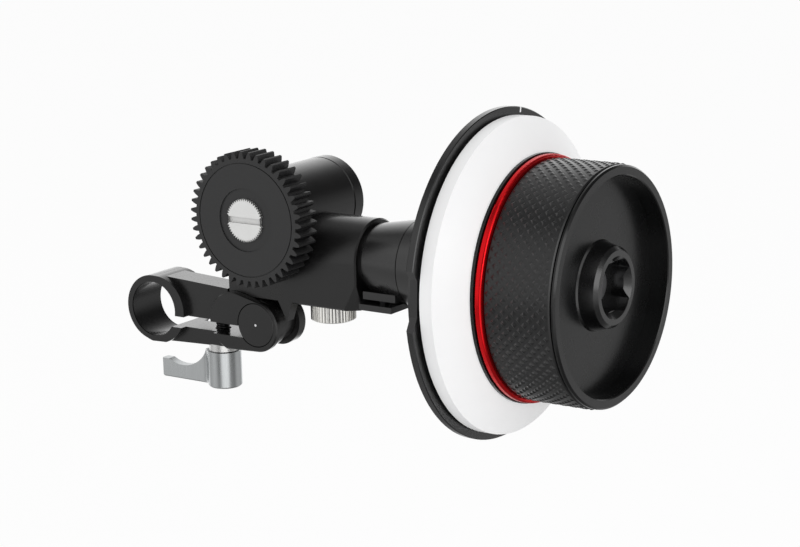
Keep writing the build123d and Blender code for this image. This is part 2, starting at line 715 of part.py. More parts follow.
# Wide slotted screw that holds the gear and lets it be changed without a spanner.
screw_front = gear_floor - gear_screw_height
gear_screw = bar_y(screw_front, gear_floor - 0.02, gear_x, gear_z, gear_screw_radius)
gear_screw = chamfer(gear_screw.edges().group_by(Axis.Y)[0], 0.2)
gear_screw += bar_y(gear_floor - 0.1, gear_floor + gear_screw_length, gear_x, gear_z, gear_screw_shank)
gear_screw -= block(gear_x - gear_screw_radius, gear_x + gear_screw_radius,
                    screw_front, screw_front + 0.8, gear_z - 0.55, gear_z + 0.55)
save("gear_screw", gear_screw)

# ---------------------------------------------------------------- split collar
# Round collar with a spigot in the housing and a foot below.  The slit in the foot
# runs in from the front and turns up into the bore, so its screw grips the carrier.
collar_bore = spigot_radius + running_gap
collar_end_radius = collar_start_radius + collar_slope * collar_length
neck_radius = collar_start_radius - 0.8
collar_spigot = housing_right - 3 + 0.05
shaft_way = shaft_radius + 1.5
carrier_seat = collar_right - spigot_length
collar = turned_x([
    (collar_spigot, shaft_way),
    (collar_spigot, bearing_radius - seat_gap),
    (housing_right + 0.02, bearing_radius - seat_gap),
    (housing_right + 0.02, neck_radius),
    (collar_left, neck_radius),
    (collar_left, collar_start_radius - 0.3),
    (collar_left + 0.3, collar_start_radius),
    (collar_right, collar_end_radius),
    (collar_right, collar_bore),
    (carrier_seat, collar_bore),
    (carrier_seat, shaft_way)])
foot_bottom = housing_floor + foot_floor_rise
foot_end = collar_left + foot_length
slit_floor = foot_bottom + foot_lip
slit_roof = slit_floor + foot_slit
bar_top = slit_roof + foot_bar_height
foot_outline = make_face(Polyline(
    (front_y, foot_bottom),
    (front_y, slit_roof - foot_slit / 2),
    (front_y + foot_setback, slit_roof - foot_slit / 2),
    (front_y + foot_setback, bar_top),
    (rear_y - foot_setback, bar_top),
    (rear_y - foot_setback, slit_floor),
    (rear_y, slit_floor),
    (rear_y, foot_bottom),
    close=True))
foot = slab_x(foot_outline, collar_left, foot_end)
foot -= bar_x(collar_left, foot_end, wheel_y, wheel_z, collar_start_radius - 0.4)
collar += foot
slit_end = wheel_y - 2.0
bore_underside = wheel_z - collar_bore + 1.0
collar -= block(carrier_seat, collar_right, front_y, slit_end, slit_floor, slit_roof)
collar -= block(carrier_seat, collar_right, slit_end - foot_slit, slit_end, slit_floor, bore_underside)
collar -= block(collar_left, carrier_seat, front_y, slit_end, slit_floor, slit_roof)
foot_screw_x = (collar_left + foot_end) / 2
foot_screw_y = front_y + 4.2
foot_screw_radius = 1.25
foot_screw_head = 1.1
foot_screw_top = slit_roof + 2.0
collar -= bar_z(foot_bottom, foot_screw_top, foot_screw_x, foot_screw_y, foot_screw_radius + 0.05)
head_cone = Cone(2 * foot_screw_radius, foot_screw_radius, foot_screw_head)
collar -= Pos(foot_screw_x, foot_screw_y, foot_bottom + foot_screw_head / 2) * head_cone
save("index_clamp_collar", collar)

foot_screw = bar_z(foot_bottom + 0.3, foot_screw_top - 0.2, foot_screw_x, foot_screw_y,
                   foot_screw_radius)
head = Cone(2 * foot_screw_radius - 0.1, foot_screw_radius - 0.1, foot_screw_head)
foot_screw += Pos(foot_screw_x, foot_screw_y, foot_bottom + 0.05 + foot_screw_head / 2) * head
save("collar_clamp_screw", foot_screw)

grub = bar_z(housing_floor + 0.4, wheel_z - bearing_radius - 0.05, collar_grub_x, wheel_y, grub_radius)
save("collar_grub_screw", grub)

# ---------------------------------------------------------------- index carrier and ring
carrier_radius = collar_end_radius + collar_slope * (carrier_left - collar_right)
carrier_end_radius = carrier_radius + collar_slope * carrier_length
carrier_bearing_rear = plate_front - bearing_width - 0.2
carrier = turned_x([
    (carrier_seat + 0.3, shaft_way),
    (carrier_seat + 0.3, spigot_radius),
    (carrier_left, spigot_radius),
    (carrier_left, carrier_radius),
    (plate_rear - 3, carrier_end_radius - 3 * collar_slope),
    (plate_rear - 1, carrier_end_radius + 0.8),
    (plate_rear, carrier_end_radius + 3),
    (plate_rear, plate_radius),
    (plate_front, plate_radius),
    (plate_front, bearing_radius + seat_gap),
    (carrier_bearing_rear, bearing_radius + seat_gap),
    (carrier_bearing_rear, shaft_way)])
index_ring = turned_x([
    (plate_front, ring_inner_radius),
    (plate_front, ring_radius - 0.2),
    (plate_front + 0.2, ring_radius),
    (ring_front - 0.2, ring_radius),
    (ring_front, ring_radius - 0.2),
    (ring_front, ring_inner_radius)])


def polar_place(radius, angle):
    """(y, z) at this radius and angle about the handwheel axis; 180 degrees faces the front."""
    return (wheel_y + radius * cos(radians(angle)), wheel_z + radius * sin(radians(angle)))


# Thumb notch in the ring's front edge, with a slope at each end.
notch_floor_radius = ring_radius - notch_depth
notch_mouth = ring_radius + 0.6
notch_outline = make_face(Polyline(
    polar_place(notch_mouth, 167.3),
    polar_place(notch_floor_radius, 171),
    polar_place(notch_floor_radius, 184),
    polar_place(notch_mouth, 189.5),
    polar_place(ring_radius + 6, 178),
    close=True))
index_ring -= slab_x(notch_outline, plate_front, ring_front)

ring_screw_radius = 1.25
ring_screw_circle = 34.2
ring_screw_angles = (45, 135, 225, 315)
ring_screws = []
for angle in ring_screw_angles:
    place = polar_place(ring_screw_circle, angle)
    carrier -= bar_x(plate_rear, plate_front, *place, ring_screw_radius + 0.05)
    index_ring -= bar_x(plate_front, ring_front - 0.4, *place, ring_screw_radius + seat_gap)
    screw = bar_x(plate_rear - 0.5, ring_front - 0.5, *place, ring_screw_radius)
    screw += bar_x(plate_rear - 1.4, plate_rear - 0.02, *place, 2 * ring_screw_radius)
    ring_screws.append(screw.solid())
save("index_carrier", carrier)
save("index_ring", index_ring)
save("index_ring_screws", Compound(ring_screws))

carrier_bearing = bearing(bar_x, plate_front - bearing_width - 0.1, plate_front - 0.1, wheel_y, wheel_z)
save("index_carrier_bearing", carrier_bearing)

# ---------------------------------------------------------------- handwheel
# Cup-shaped core: hub, floor, outer wall and the seats for disc, ring and grip.
wheel_bore = shaft_radius + seat_gap
grip_seat = grip_radius - grip_wall
wall_inner = grip_seat - 3.0
disc_seat_rear = disc_front - disc_seat_length
core = turned_x([
    (wheel_hub_rear, wheel_bore),
    (wheel_hub_rear, wheel_hub_radius),
    (floor_rear, wheel_hub_radius),
    (floor_rear, wall_inner),
    (disc_seat_rear, wall_inner),
    (disc_seat_rear, seat_radius),
    (disc_front + 0.05, seat_radius),
    (disc_front + 0.05, seat_radius + drum_flange_rise),
    (red_ring_rear, seat_radius + drum_flange_rise),
    (red_ring_rear, seat_radius - 0.9),
    (grip_rear, seat_radius - 0.9),
    (grip_rear, grip_seat),
    (bezel_rear, grip_seat),
    (bezel_rear, dish_radius),
    (dish_floor, dish_radius),
    (dish_floor, 2 * wheel_screw_radius + 0.1),
    (screw_head_seat, 2 * wheel_screw_radius + 0.1),
    (screw_head_seat, wheel_screw_radius + 0.1),
    (wheel_shaft_right + 0.2, wheel_screw_radius + 0.1),
    (wheel_shaft_right + 0.2, wheel_bore)])

magnet_radius = 1.5
magnet_length = 1.6
magnet_x = disc_front - 2.4
magnet_count = 6
magnets = []
for index in range(magnet_count):
    turn = Pos(magnet_x, wheel_y, wheel_z) * Rot(index * 360 / magnet_count, 0, 0)
    pocket = Pos(0, 0, seat_radius - 0.1 - magnet_length / 2)
    magnets.append((turn * pocket * Cylinder(magnet_radius, magnet_length)).solid())
    core -= turn * Pos(0, 0, seat_radius - magnet_length / 2) * Cylinder(
        magnet_radius + 0.05, magnet_length + 0.25)

hub_screw_circle = 9.0
hub_screw_radius = 0.8
hub_screw_bite = 1.6
hub_screws = []
for angle in (0, 90, 180, 270):
    place = polar_place(hub_screw_circle, angle + 45)
    core -= bar_x(floor_rear, dish_floor, *place, hub_screw_radius + 0.05)
    screw = bar_x(floor_rear - 0.5, dish_floor + hub_screw_bite, *place, hub_screw_radius)
    screw += bar_x(floor_rear - 1.0, floor_rear - 0.02, *place, 1.9 * hub_screw_radius)
    hub_screws.append(screw.solid())
save("handwheel_core", core)
save("disc_magnets", Compound(magnets))
save("hub_socket_screws", Compound(hub_screws))

# Marking disc: a white rim and cone to be written on, held on its seat by the magnets.
disc_shoulder = disc_rear + disc_rim
disc_slope = (disc_outer_radius - (seat_radius + 1.1)) / (disc_height - disc_rim)
disc_inner_rear = disc_outer_radius - disc_wall
disc_bore = seat_radius + seat_gap
disc_step = disc_front - disc_step_inset
marking_disc = turned_x([
    (disc_rear, disc_inner_rear),
    (disc_rear, disc_outer_radius - 0.25),
    (disc_rear + 0.25, disc_outer_radius),
    (disc_shoulder, disc_outer_radius),
    (disc_front - 0.2, seat_radius + 1.1 + 0.2 * disc_slope),
    (disc_front, seat_radius + 0.9),
    (disc_front, disc_bore),
    (disc_step - disc_step_length, disc_bore),
    (disc_step - disc_step_length, disc_bore + 1.6),
    (disc_shoulder - 0.6, disc_inner_rear)])
save("marking_disc", marking_disc)

# Anodised ring between the disc and the grip.
red_outline = make_face(Polyline(
    (red_ring_rear + 0.02, seat_radius - 0.9 + seat_gap),
    (red_ring_rear + 0.02, red_ring_radius),
    (red_ring_rear + red_ring_width, red_ring_radius),
    (red_ring_rear + red_ring_width, seat_radius - 0.9 + seat_gap),
    close=True))
red_outline = fillet(red_outline.vertices().group_by(Axis.Y)[-1], 0.6)
red_ring = Pos(0, wheel_y, wheel_z) * revolve(Plane.XZ * red_outline, Axis.X)
save("red_ring", red_ring)

grip_sleeve = turned_x([
    (grip_rear + 0.02, grip_seat + seat_gap),
    (grip_rear + 0.02, grip_radius - 0.4),
    (grip_rear + 0.4, grip_radius),
    (grip_front - 0.4, grip_radius),
    (grip_front, grip_radius - 0.4),
    (grip_front, grip_seat + seat_gap)])
save("grip_sleeve", grip_sleeve)

front_bezel = turned_x([
    (bezel_rear + 0.02, dish_radius),
    (bezel_rear + 0.02, bezel_radius - 0.2),
    (bezel_rear + 0.2, bezel_radius),
    (wheel_front - 0.45, bezel_radius),
    (wheel_front, bezel_radius - 0.45),
    (wheel_front, dish_radius + 0.25),
    (wheel_front - 0.25, dish_radius)])
save("front_bezel", front_bezel)

# Socket that takes the square end of an extension shaft or crank.
socket_height = wheel_front - dish_floor + 0.1
socket_front = dish_floor + socket_height
hub_socket = turned_x([
    (dish_floor + 0.02, 0),
    (dish_floor + 0.02, socket_base_radius),
    (dish_floor + 0.5, socket_base_radius - 0.3),
    (socket_front - socket_bevel, socket_ring_radius + 0.1),
    (socket_front, socket_ring_radius + 0.1 - socket_bevel),
    (socket_front, 0)])
socket_outline = Circle(socket_corner_radius)
bulge_radius = 12.3
for angle in (0, 90, 180, 270):
    bulge = Rot(0, 0, angle) * Pos(socket_half_width + bulge_radius, 0) * Circle(bulge_radius)
    socket_outline -= bulge
socket_outline = fillet(socket_outline.vertices(), 0.5)
hub_socket -= slab_x(Pos(wheel_y, wheel_z) * socket_outline, dish_floor, socket_front)
hub_socket -= turned_x([
    (socket_front - socket_lead, 0),
    (socket_front - socket_lead, socket_corner_radius + 0.1 - socket_lead),
    (socket_front, socket_corner_radius + 0.1),
    (socket_front + 0.1, socket_corner_radius + 0.1),
    (socket_front + 0.1, 0)])
for angle in (0, 90, 180, 270):
    place = polar_place(hub_screw_circle, angle + 45)
    hub_socket -= bar_x(dish_floor, dish_floor + hub_screw_bite + 0.2, *place,
                        hub_screw_radius + seat_gap)
save("hub_socket", hub_socket)

wheel_screw = bar_x(wheel_shaft_right - wheel_screw_length, screw_head_seat + 0.05, wheel_y, wheel_z,
                    wheel_screw_radius)
wheel_screw += bar_x(screw_head_seat + 0.05, dish_floor, wheel_y, wheel_z, 2 * wheel_screw_radius)
wheel_screw -= Pos(dish_floor - 1.5, 0, 0) * slab_x(
    Pos(wheel_y, wheel_z) * RegularPolygon(1.7, 6), 0, 1.5)
save("wheel_screw", wheel_screw)
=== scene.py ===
import math

import bmesh
import bpy
from mathutils import Matrix, Vector


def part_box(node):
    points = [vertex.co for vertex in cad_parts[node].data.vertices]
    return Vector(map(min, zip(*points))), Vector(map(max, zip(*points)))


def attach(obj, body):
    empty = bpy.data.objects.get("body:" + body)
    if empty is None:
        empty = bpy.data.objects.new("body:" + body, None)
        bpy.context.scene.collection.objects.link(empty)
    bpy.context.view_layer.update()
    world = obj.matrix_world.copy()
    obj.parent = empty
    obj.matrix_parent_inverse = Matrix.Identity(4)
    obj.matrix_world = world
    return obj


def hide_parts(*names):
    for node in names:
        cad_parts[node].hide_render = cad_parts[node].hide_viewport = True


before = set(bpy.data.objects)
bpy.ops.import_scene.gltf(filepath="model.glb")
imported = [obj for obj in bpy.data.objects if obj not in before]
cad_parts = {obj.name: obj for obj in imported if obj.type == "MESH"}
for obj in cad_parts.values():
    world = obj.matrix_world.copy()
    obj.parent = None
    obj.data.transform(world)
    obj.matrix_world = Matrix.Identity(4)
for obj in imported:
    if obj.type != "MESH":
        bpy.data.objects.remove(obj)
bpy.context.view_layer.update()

# ------------------------------------------------------------------ camera
# A camera with a 100 mm lens about half a metre away, in front and to the right,
# a little above the unit.  It is tilted by a degree, as a hand-held frame is.
mm = 0.001
camera_place = Vector((389.99, -456.44, 143.43)) * mm
camera_yaw = math.radians(34.358)
camera_pitch = math.radians(12.860)
camera_roll = math.radians(-1.322)
level_right = Vector((math.cos(camera_yaw), math.sin(camera_yaw), 0))
looking = Vector((
    -math.sin(camera_yaw) * math.cos(camera_pitch),
    math.cos(camera_yaw) * math.cos(camera_pitch),
    -math.sin(camera_pitch)))
level_up = level_right.cross(looking)
camera_right = math.cos(camera_roll) * level_right + math.sin(camera_roll) * level_up
camera_up = math.cos(camera_roll) * level_up - math.sin(camera_roll) * level_right
lens = bpy.data.cameras.new("camera")
lens.lens = 100.0
lens.sensor_width = 36.0
lens.clip_start = 0.01
lens.clip_end = 50.0
camera = bpy.data.objects.new("camera", lens)
camera.matrix_world = Matrix((
    (camera_right.x, camera_up.x, -looking.x, camera_place.x),
    (camera_right.y, camera_up.y, -looking.y, camera_place.y),
    (camera_right.z, camera_up.z, -looking.z, camera_place.z),
    (0, 0, 0, 1)))
bpy.context.scene.collection.objects.link(camera)
bpy.context.scene.camera = camera

# ------------------------------------------------------------------ white room
# A light tent: the camera sees it white all round.  What the black and silver pieces
# mirror is white behind and at the left, grey overhead and below, and dim at the right.
bpy.context.scene.view_settings.view_transform = "Standard"


def add(tree, kind, values=None, **settings):
    """A new node in a tree; values holds its inputs by name or number."""
    made = tree.nodes.new(kind)
    for key, value in settings.items():
        setattr(made, key, value)
    for key, value in (values or {}).items():
        made.inputs[key].default_value = value
    return made


def join(tree, source, output, target, entry):
    """Links one node's output to another node's input."""
    tree.links.new(source.outputs[output], target.inputs[entry])


# Each panel has a name, the way to it, the cosines at its edge and at its full middle,
# and its strength.
panels = (
    ("back_left", (-0.62, 0.78, 0.10), 0.55, 0.90, 1.15),
    ("overhead", (-0.25, 0.15, 0.95), 0.45, 0.95, 0.22),
    ("front_left", (-0.60, -0.74, 0.30), 0.73, 0.97, 1.05),
    ("low_front", (-0.60, -0.45, -0.66), 0.65, 0.95, 0.50),
    ("left", (-0.97, 0.25, -0.05), 0.86, 0.97, 1.00),
    ("camera_side", (0.58, -0.79, -0.20), 0.80, 0.94, 1.20),
    ("back_right", (0.60, 0.76, -0.25), 0.80, 0.96, 0.46),
    ("overhead_right", (0.35, -0.35, 0.85), 0.74, 0.95, 1.10),
    ("right", (0.98, -0.05, 0.15), 0.80, 0.98, 0.30),
)
room_dim = 0.08
room_plain = 1.03
room_share = 0.8


def mirrored_room(tree, direction, output):
    """The strongest soft panel in this direction, over the dim level of the rest."""
    total = None
    for name, aim, edge, core, strength in panels:
        facing = add(tree, "ShaderNodeVectorMath", {1: Vector(aim).normalized()},
                     operation="DOT_PRODUCT")
        join(tree, direction, output, facing, 0)
        glow = add(tree, "ShaderNodeMapRange", {1: edge, 2: core, 3: 0.0, 4: strength},
                   interpolation_type="SMOOTHSTEP", label=name)
        join(tree, facing, "Value", glow, 0)
        if total is None:
            total = add(tree, "ShaderNodeMath", {1: room_dim}, operation="ADD")
            join(tree, glow, 0, total, 0)
        else:
            larger = add(tree, "ShaderNodeMath", operation="MAXIMUM")
            join(tree, total, 0, larger, 0)
            join(tree, glow, 0, larger, 1)
            total = larger
    return total


room = bpy.data.worlds.new("white_room")
room.use_nodes = True
bpy.context.scene.world = room
tree = room.node_tree
tree.nodes.clear()
ray = add(tree, "ShaderNodeLightPath")
direction = add(tree, "ShaderNodeTexCoord")
mirrored = mirrored_room(tree, direction, "Generated")
lit = add(tree, "ShaderNodeMix", {2: room_plain}, data_type="FLOAT")
join(tree, ray, "Is Glossy Ray", lit, 0)
join(tree, mirrored, 0, lit, 3)
seen = add(tree, "ShaderNodeMath", operation="MAXIMUM")
join(tree, ray, "Is Camera Ray", seen, 0)
join(tree, ray, "Is Transmission Ray", seen, 1)
dimmed = add(tree, "ShaderNodeMath", {1: room_share}, operation="MULTIPLY")
join(tree, lit, 0, dimmed, 0)
level = add(tree, "ShaderNodeMix", {3: 1.0}, data_type="FLOAT")
join(tree, seen, 0, level, 0)
join(tree, dimmed, 0, level, 2)
air = add(tree, "ShaderNodeBackground", {"Color": (1, 1, 1, 1)})
join(tree, level, 0, air, "Strength")
join(tree, air, 0, add(tree, "ShaderNodeOutputWorld"), "Surface")

# ------------------------------------------------------------------ bench
# A white sheet well below the unit.  It keeps the unit's soft shadow, and in mirrored
# rays it shows the same panels as the room.
bench_drop = 0.135
bench_reach = 12.0
bench_middle = (0.06, 0.0, 0.0)
bench_white = (0.96, 0.96, 0.96, 1)
bench_glow_share = 0.86
bench_corners = ((-1, -1), (1, -1), (1, 1), (-1, 1))
bench_mesh = bpy.data.meshes.new("bench")
bench_mesh.from_pydata(
    [(x * bench_reach, y * bench_reach, -bench_drop) for x, y in bench_corners],
    [], [(0, 1, 2, 3)])
bench = bpy.data.objects.new("bench", bench_mesh)
bpy.context.scene.collection.objects.link(bench)
bench_paint = bpy.data.materials.new("bench_paint")
bench_paint.use_nodes = True
tree = bench_paint.node_tree
tree.nodes.clear()
ray = add(tree, "ShaderNodeLightPath")
seen = add(tree, "ShaderNodeMath", operation="MAXIMUM")
join(tree, ray, "Is Camera Ray", seen, 0)
join(tree, ray, "Is Transmission Ray", seen, 1)
spot = add(tree, "ShaderNodeTexCoord")
unit_spot = add(tree, "ShaderNodeVectorMath", {1: bench_middle}, operation="SUBTRACT")
join(tree, spot, "Object", unit_spot, 0)
outward = add(tree, "ShaderNodeVectorMath", operation="NORMALIZE")
join(tree, unit_spot, 0, outward, 0)
mirrored = mirrored_room(tree, outward, 0)
level = add(tree, "ShaderNodeMix", {3: 1.0}, data_type="FLOAT")
join(tree, seen, 0, level, 0)
join(tree, mirrored, 0, level, 2)
shine = add(tree, "ShaderNodeMath", operation="MAXIMUM")
join(tree, seen, 0, shine, 0)
join(tree, ray, "Is Glossy Ray", shine, 1)
share = add(tree, "ShaderNodeMath", {1: bench_glow_share}, operation="MULTIPLY")
join(tree, shine, 0, share, 0)
paint = add(tree, "ShaderNodeBsdfDiffuse", {"Color": bench_white})
glow = add(tree, "ShaderNodeEmission", {"Color": (1, 1, 1, 1)})
join(tree, level, 0, glow, "Strength")
both = add(tree, "ShaderNodeMixShader")
join(tree, share, 0, both, 0)
join(tree, paint, 0, both, 1)
join(tree, glow, 0, both, 2)
join(tree, both, 0, add(tree, "ShaderNodeOutputMaterial"), "Surface")
bench_mesh.materials.append(bench_paint)

# ------------------------------------------------------------------ lamps
# Three soft boxes: one overhead and behind, one at the left and one at the right of the
# camera.  They add a little direction to the even light of the tent.
unit_middle = Vector((75, 5, 15)) * mm


def soft_box(name, place, width, depth, power):
    """A rectangular lamp that faces the unit."""
    lamp = bpy.data.lights.new(name, "AREA")
    lamp.shape = "RECTANGLE"
    lamp.size = width
    lamp.size_y = depth
    lamp.energy = power
    box = bpy.data.objects.new(name, lamp)
    box.location = unit_middle + Vector(place)
    box.rotation_euler = (-Vector(place)).to_track_quat("-Z", "Y").to_euler()
    bpy.context.scene.collection.objects.link(box)


soft_box("overhead_box", (-0.20, 0.15, 0.75), 0.6, 0.5, 0.3)
soft_box("left_box", (-0.70, -0.20, 0.45), 0.4, 0.5, 0.2)
soft_box("right_box", (0.75, -0.30, 0.25), 0.5, 0.5, 1.8)

# ------------------------------------------------------------------ black anodised pieces
# Milled and turned aluminium, bead-blasted and anodised black: the clamp, the gearbox
# and its cap and plug, and the pivot pin.


def finish_group(name, inputs, outputs):
    """An empty shader node group with these named inputs and outputs."""
    group = bpy.data.node_groups.new(name, "ShaderNodeTree")
    for label, kind in inputs:
        group.interface.new_socket(label, in_out="INPUT", socket_type="NodeSocket" + kind)
    for label in outputs:
        group.interface.new_socket(label, in_out="OUTPUT", socket_type="NodeSocketFloat")
    return group, add(group, "NodeGroupInput"), add(group, "NodeGroupOutput")


def grain_group():
    """Fine blasted grain: roughness that varies in patches, and a height for bump."""
    group, entry, result = finish_group(
        "blasted_grain", (("Grain", "Float"), ("Roughness", "Float"), ("Spread", "Float")),
        ("Roughness", "Height", "Patches"))
    place = add(group, "ShaderNodeTexCoord")
    fine = add(group, "ShaderNodeTexNoise", {"Detail": 3.0, "Roughness": 0.6})
    join(group, place, "Object", fine, "Vector")
    join(group, entry, "Grain", fine, "Scale")
    patches = add(group, "ShaderNodeTexNoise",
                  {"Scale": 130.0, "Detail": 4.0, "Roughness": 0.55})
    join(group, place, "Object", patches, "Vector")
    centred = add(group, "ShaderNodeMath", {1: 0.5}, operation="SUBTRACT")
    join(group, patches, 0, centred, 0)
    spread = add(group, "ShaderNodeMath", operation="MULTIPLY")
    join(group, centred, 0, spread, 0)
    join(group, entry, "Spread", spread, 1)
    total = add(group, "ShaderNodeMath", operation="ADD", use_clamp=True)
    join(group, spread, 0, total, 0)
    join(group, entry, "Roughness", total, 1)
    join(group, total, 0, result, "Roughness")
    join(group, fine, 0, result, "Height")
    join(group, patches, 0, result, "Patches")
    return group


blasted_grain = grain_group()


def grained(name, colour, roughness, spread, grain=6000.0, bump=0.02, metallic=0.0,
            specular=0.5, shade=0.25, glaze=0.0, glaze_roughness=0.2):
    """A finish with blasted grain, whose relief is bump millimetres deep.

    shade is how far the colour drifts between patches, and glaze the most that a clear
    layer adds where the surface is seen at a flat angle, as on dyed anodising.
    """
    finish = bpy.data.materials.new(name)
    finish.use_nodes = True
    tree = finish.node_tree
    surface = tree.nodes["Principled BSDF"]
    surface.inputs["Metallic"].default_value = metallic
    surface.inputs["Specular IOR Level"].default_value = specular
    texture = add(tree, "ShaderNodeGroup",
                  {"Grain": grain, "Roughness": roughness, "Spread": spread},
                  node_tree=blasted_grain)
    join(tree, texture, "Roughness", surface, "Roughness")
    darker = tuple(c * (1 - shade) for c in colour)
    lighter = tuple(min(1, c * (1 + shade)) for c in colour)
    tint = add(tree, "ShaderNodeMix", {6: (*darker, 1), 7: (*lighter, 1)}, data_type="RGBA")
    join(tree, texture, "Patches", tint, 0)
    join(tree, tint, 2, surface, "Base Color")
    relief = add(tree, "ShaderNodeBump", {"Strength": 1.0, "Distance": bump * mm})
    join(tree, texture, "Height", relief, "Height")
    join(tree, relief, 0, surface, "Normal")
    if glaze:
        edge_on = add(tree, "ShaderNodeLayerWeight", {"Blend": 0.5})
        layer = add(tree, "ShaderNodeMapRange", {1: 0.45, 2: 0.85, 3: 0.0, 4: glaze},
                    interpolation_type="SMOOTHSTEP")
        join(tree, edge_on, "Facing", layer, 0)
        join(tree, layer, 0, surface, "Coat Weight")
        surface.inputs["Coat Roughness"].default_value = glaze_roughness
        surface.inputs["Coat IOR"].default_value = 2.0
    return finish


def dress(node_name, finish):
    """Gives a finish to a piece that keeps its own mesh."""
    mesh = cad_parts[node_name].data
    mesh.materials.clear()
    mesh.materials.append(finish)


black_anodised = grained("black_anodised", (0.0062, 0.0060, 0.0061), 0.30, 0.14, bump=0.010,
                         specular=0.58, glaze=1.0, glaze_roughness=0.09)
for black_piece in ("rod_clamp", "gearbox_housing", "housing_end_cap", "barrel_rear_cap",
                    "pivot_pin"):
    dress(black_piece, black_anodised)

# ------------------------------------------------------------------ pivot centre mark
# The small bright spot in the middle of the pivot pin's head: a tiny stud in the centre mark,
# where the lathe's centre stood while the pin was turned.
# Its light colour is a painted glint, standing for the light that the mark catches.
pin_low, pin_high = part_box("pivot_pin")
pin_middle = Vector(((pin_low.x + pin_high.x) / 2, pin_low.y, (pin_low.z + pin_high.z) / 2))
mark_radius = 0.34 * mm
mark_rise = 0.03 * mm
mark_sides = 20


def skinned(form, rings):
    """Closes a form over rings of points, with a flat cap at each end."""
    sides = len(rings[0])
    for lower, upper in zip(rings, rings[1:]):
        for k in range(sides):
            form.faces.new((lower[k], lower[(k + 1) % sides], upper[(k + 1) % sides], upper[k]))
    form.faces.new(list(reversed(rings[0])))
    form.faces.new(rings[-1])


def finished(name, form, smooth_angle=None):
    """Makes a piece of a closed form, smooth over edges flatter than an angle if it has one."""
    bmesh.ops.recalc_face_normals(form, faces=form.faces)
    if smooth_angle is not None:
        for face in form.faces:
            face.smooth = len(face.verts) == 4
        for edge in form.edges:
            edge.smooth = edge.calc_face_angle(0) < smooth_angle
    mesh = bpy.data.meshes.new(name)
    form.to_mesh(mesh)
    form.free()
    piece = bpy.data.objects.new(name, mesh)
    bpy.context.scene.collection.objects.link(piece)
    return piece


def stud(name, centre, axis, radius, height, sides, rim=0.3):
    """A small flat stud with a bevelled rim, standing up along an axis."""
    form = bmesh.new()
    up = Vector(axis).normalized()
    across = up.orthogonal().normalized()
    beside = up.cross(across)
    ways = [math.cos(2 * math.pi * k / sides) * across + math.sin(2 * math.pi * k / sides) * beside
            for k in range(sides)]
    levels = ((-height, radius), (height * 0.4, radius), (height, radius * (1 - rim)))
    skinned(form, [[form.verts.new(centre + up * level + reach * way) for way in ways]
                   for level, reach in levels])
    return finished(name, form)


# Light colour for the stud: a painted glint in the centre mark.
glint_painted_steel = grained("glint_painted_steel", (0.86, 0.86, 0.87), 0.45, 0.08, metallic=0.4, shade=0.04)
painted_glint_stud = stud("pivot_painted_glint_stud", pin_middle, (0, -1, 0), mark_radius, mark_rise, mark_sides)
painted_glint_stud.data.materials.append(glint_painted_steel)
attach(painted_glint_stud, "unit")

# ------------------------------------------------------------------ clamp screw
# Black M4 screw in the clamp's slit: a plain core with a helical thread wound on it.
# The thread shows between the jaws.
screw_low, screw_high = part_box("clamp_screw")
screw_x = (screw_low.x + screw_high.x) / 2
screw_reach = (screw_high.x - screw_low.x) / 2
thread_pitch = 0.7 * mm
thread_depth = 0.47 * mm
thread_bite = 0.98
thread_length = screw_high.z - screw_low.z - 2 * thread_depth


def grown(piece, tree, values):
    """Runs a Geometry Nodes tree on a piece, and keeps the result as its own plain mesh."""
    maker = piece.modifiers.new(tree.name, "NODES")
    maker.node_group = tree
    for item in tree.interface.items_tree:
        if item.item_type == "SOCKET" and item.in_out == "INPUT" and item.name in values:
            maker[item.identifier] = values[item.name]
    graph = bpy.context.evaluated_depsgraph_get()
    mesh = bpy.data.meshes.new_from_object(piece.evaluated_get(graph))
    piece.modifiers.clear()
    piece.data = mesh
    mesh.name = piece.name
    return piece


def geometry_tree(name, inputs):
    """An empty Geometry Nodes tree with these named inputs and one geometry output."""
    tree = bpy.data.node_groups.new(name, "GeometryNodeTree")
    for label, kind in inputs:
        tree.interface.new_socket(label, in_out="INPUT", socket_type="NodeSocket" + kind)
    tree.interface.new_socket("Geometry", in_out="OUTPUT", socket_type="NodeSocketGeometry")
    return tree, add(tree, "NodeGroupInput"), add(tree, "NodeGroupOutput")


tree, entry, result = geometry_tree("threaded_screw", (
    ("Turns", "Float"), ("Root Radius", "Float"), ("Length", "Float"), ("Depth", "Float"),
    ("Place", "Vector"), ("Finish", "Material")))
helix = add(tree, "GeometryNodeCurveSpiral", {"Resolution": 24})
join(tree, entry, "Turns", helix, "Rotations")
join(tree, entry, "Root Radius", helix, "Start Radius")
join(tree, entry, "Root Radius", helix, "End Radius")
join(tree, entry, "Length", helix, "Height")
ridge = add(tree, "GeometryNodeCurvePrimitiveCircle", {"Resolution": 4})
join(tree, entry, "Depth", ridge, "Radius")
thread = add(tree, "GeometryNodeCurveToMesh", {"Fill Caps": True})
join(tree, helix, 0, thread, "Curve")
join(tree, ridge, 0, thread, "Profile Curve")
core = add(tree, "GeometryNodeMeshCylinder", {"Vertices": 32})
join(tree, entry, "Root Radius", core, "Radius")
join(tree, entry, "Length", core, "Depth")
half_up = add(tree, "ShaderNodeMath", {1: 0.5}, operation="MULTIPLY")
join(tree, entry, "Length", half_up, 0)
raised = add(tree, "ShaderNodeCombineXYZ")
join(tree, half_up, 0, raised, "Z")
core_up = add(tree, "GeometryNodeTransform")
join(tree, core, 0, core_up, "Geometry")
join(tree, raised, 0, core_up, "Translation")
whole = add(tree, "GeometryNodeJoinGeometry")
join(tree, thread, 0, whole, 0)
join(tree, core_up, 0, whole, 0)
placed = add(tree, "GeometryNodeTransform")
join(tree, whole, 0, placed, "Geometry")
join(tree, entry, "Place", placed, "Translation")
real = add(tree, "GeometryNodeRealizeInstances")
join(tree, placed, 0, real, 0)
coloured = add(tree, "GeometryNodeSetMaterial")
join(tree, real, 0, coloured, 0)
join(tree, entry, "Finish", coloured, "Material")
join(tree, coloured, 0, result, 0)

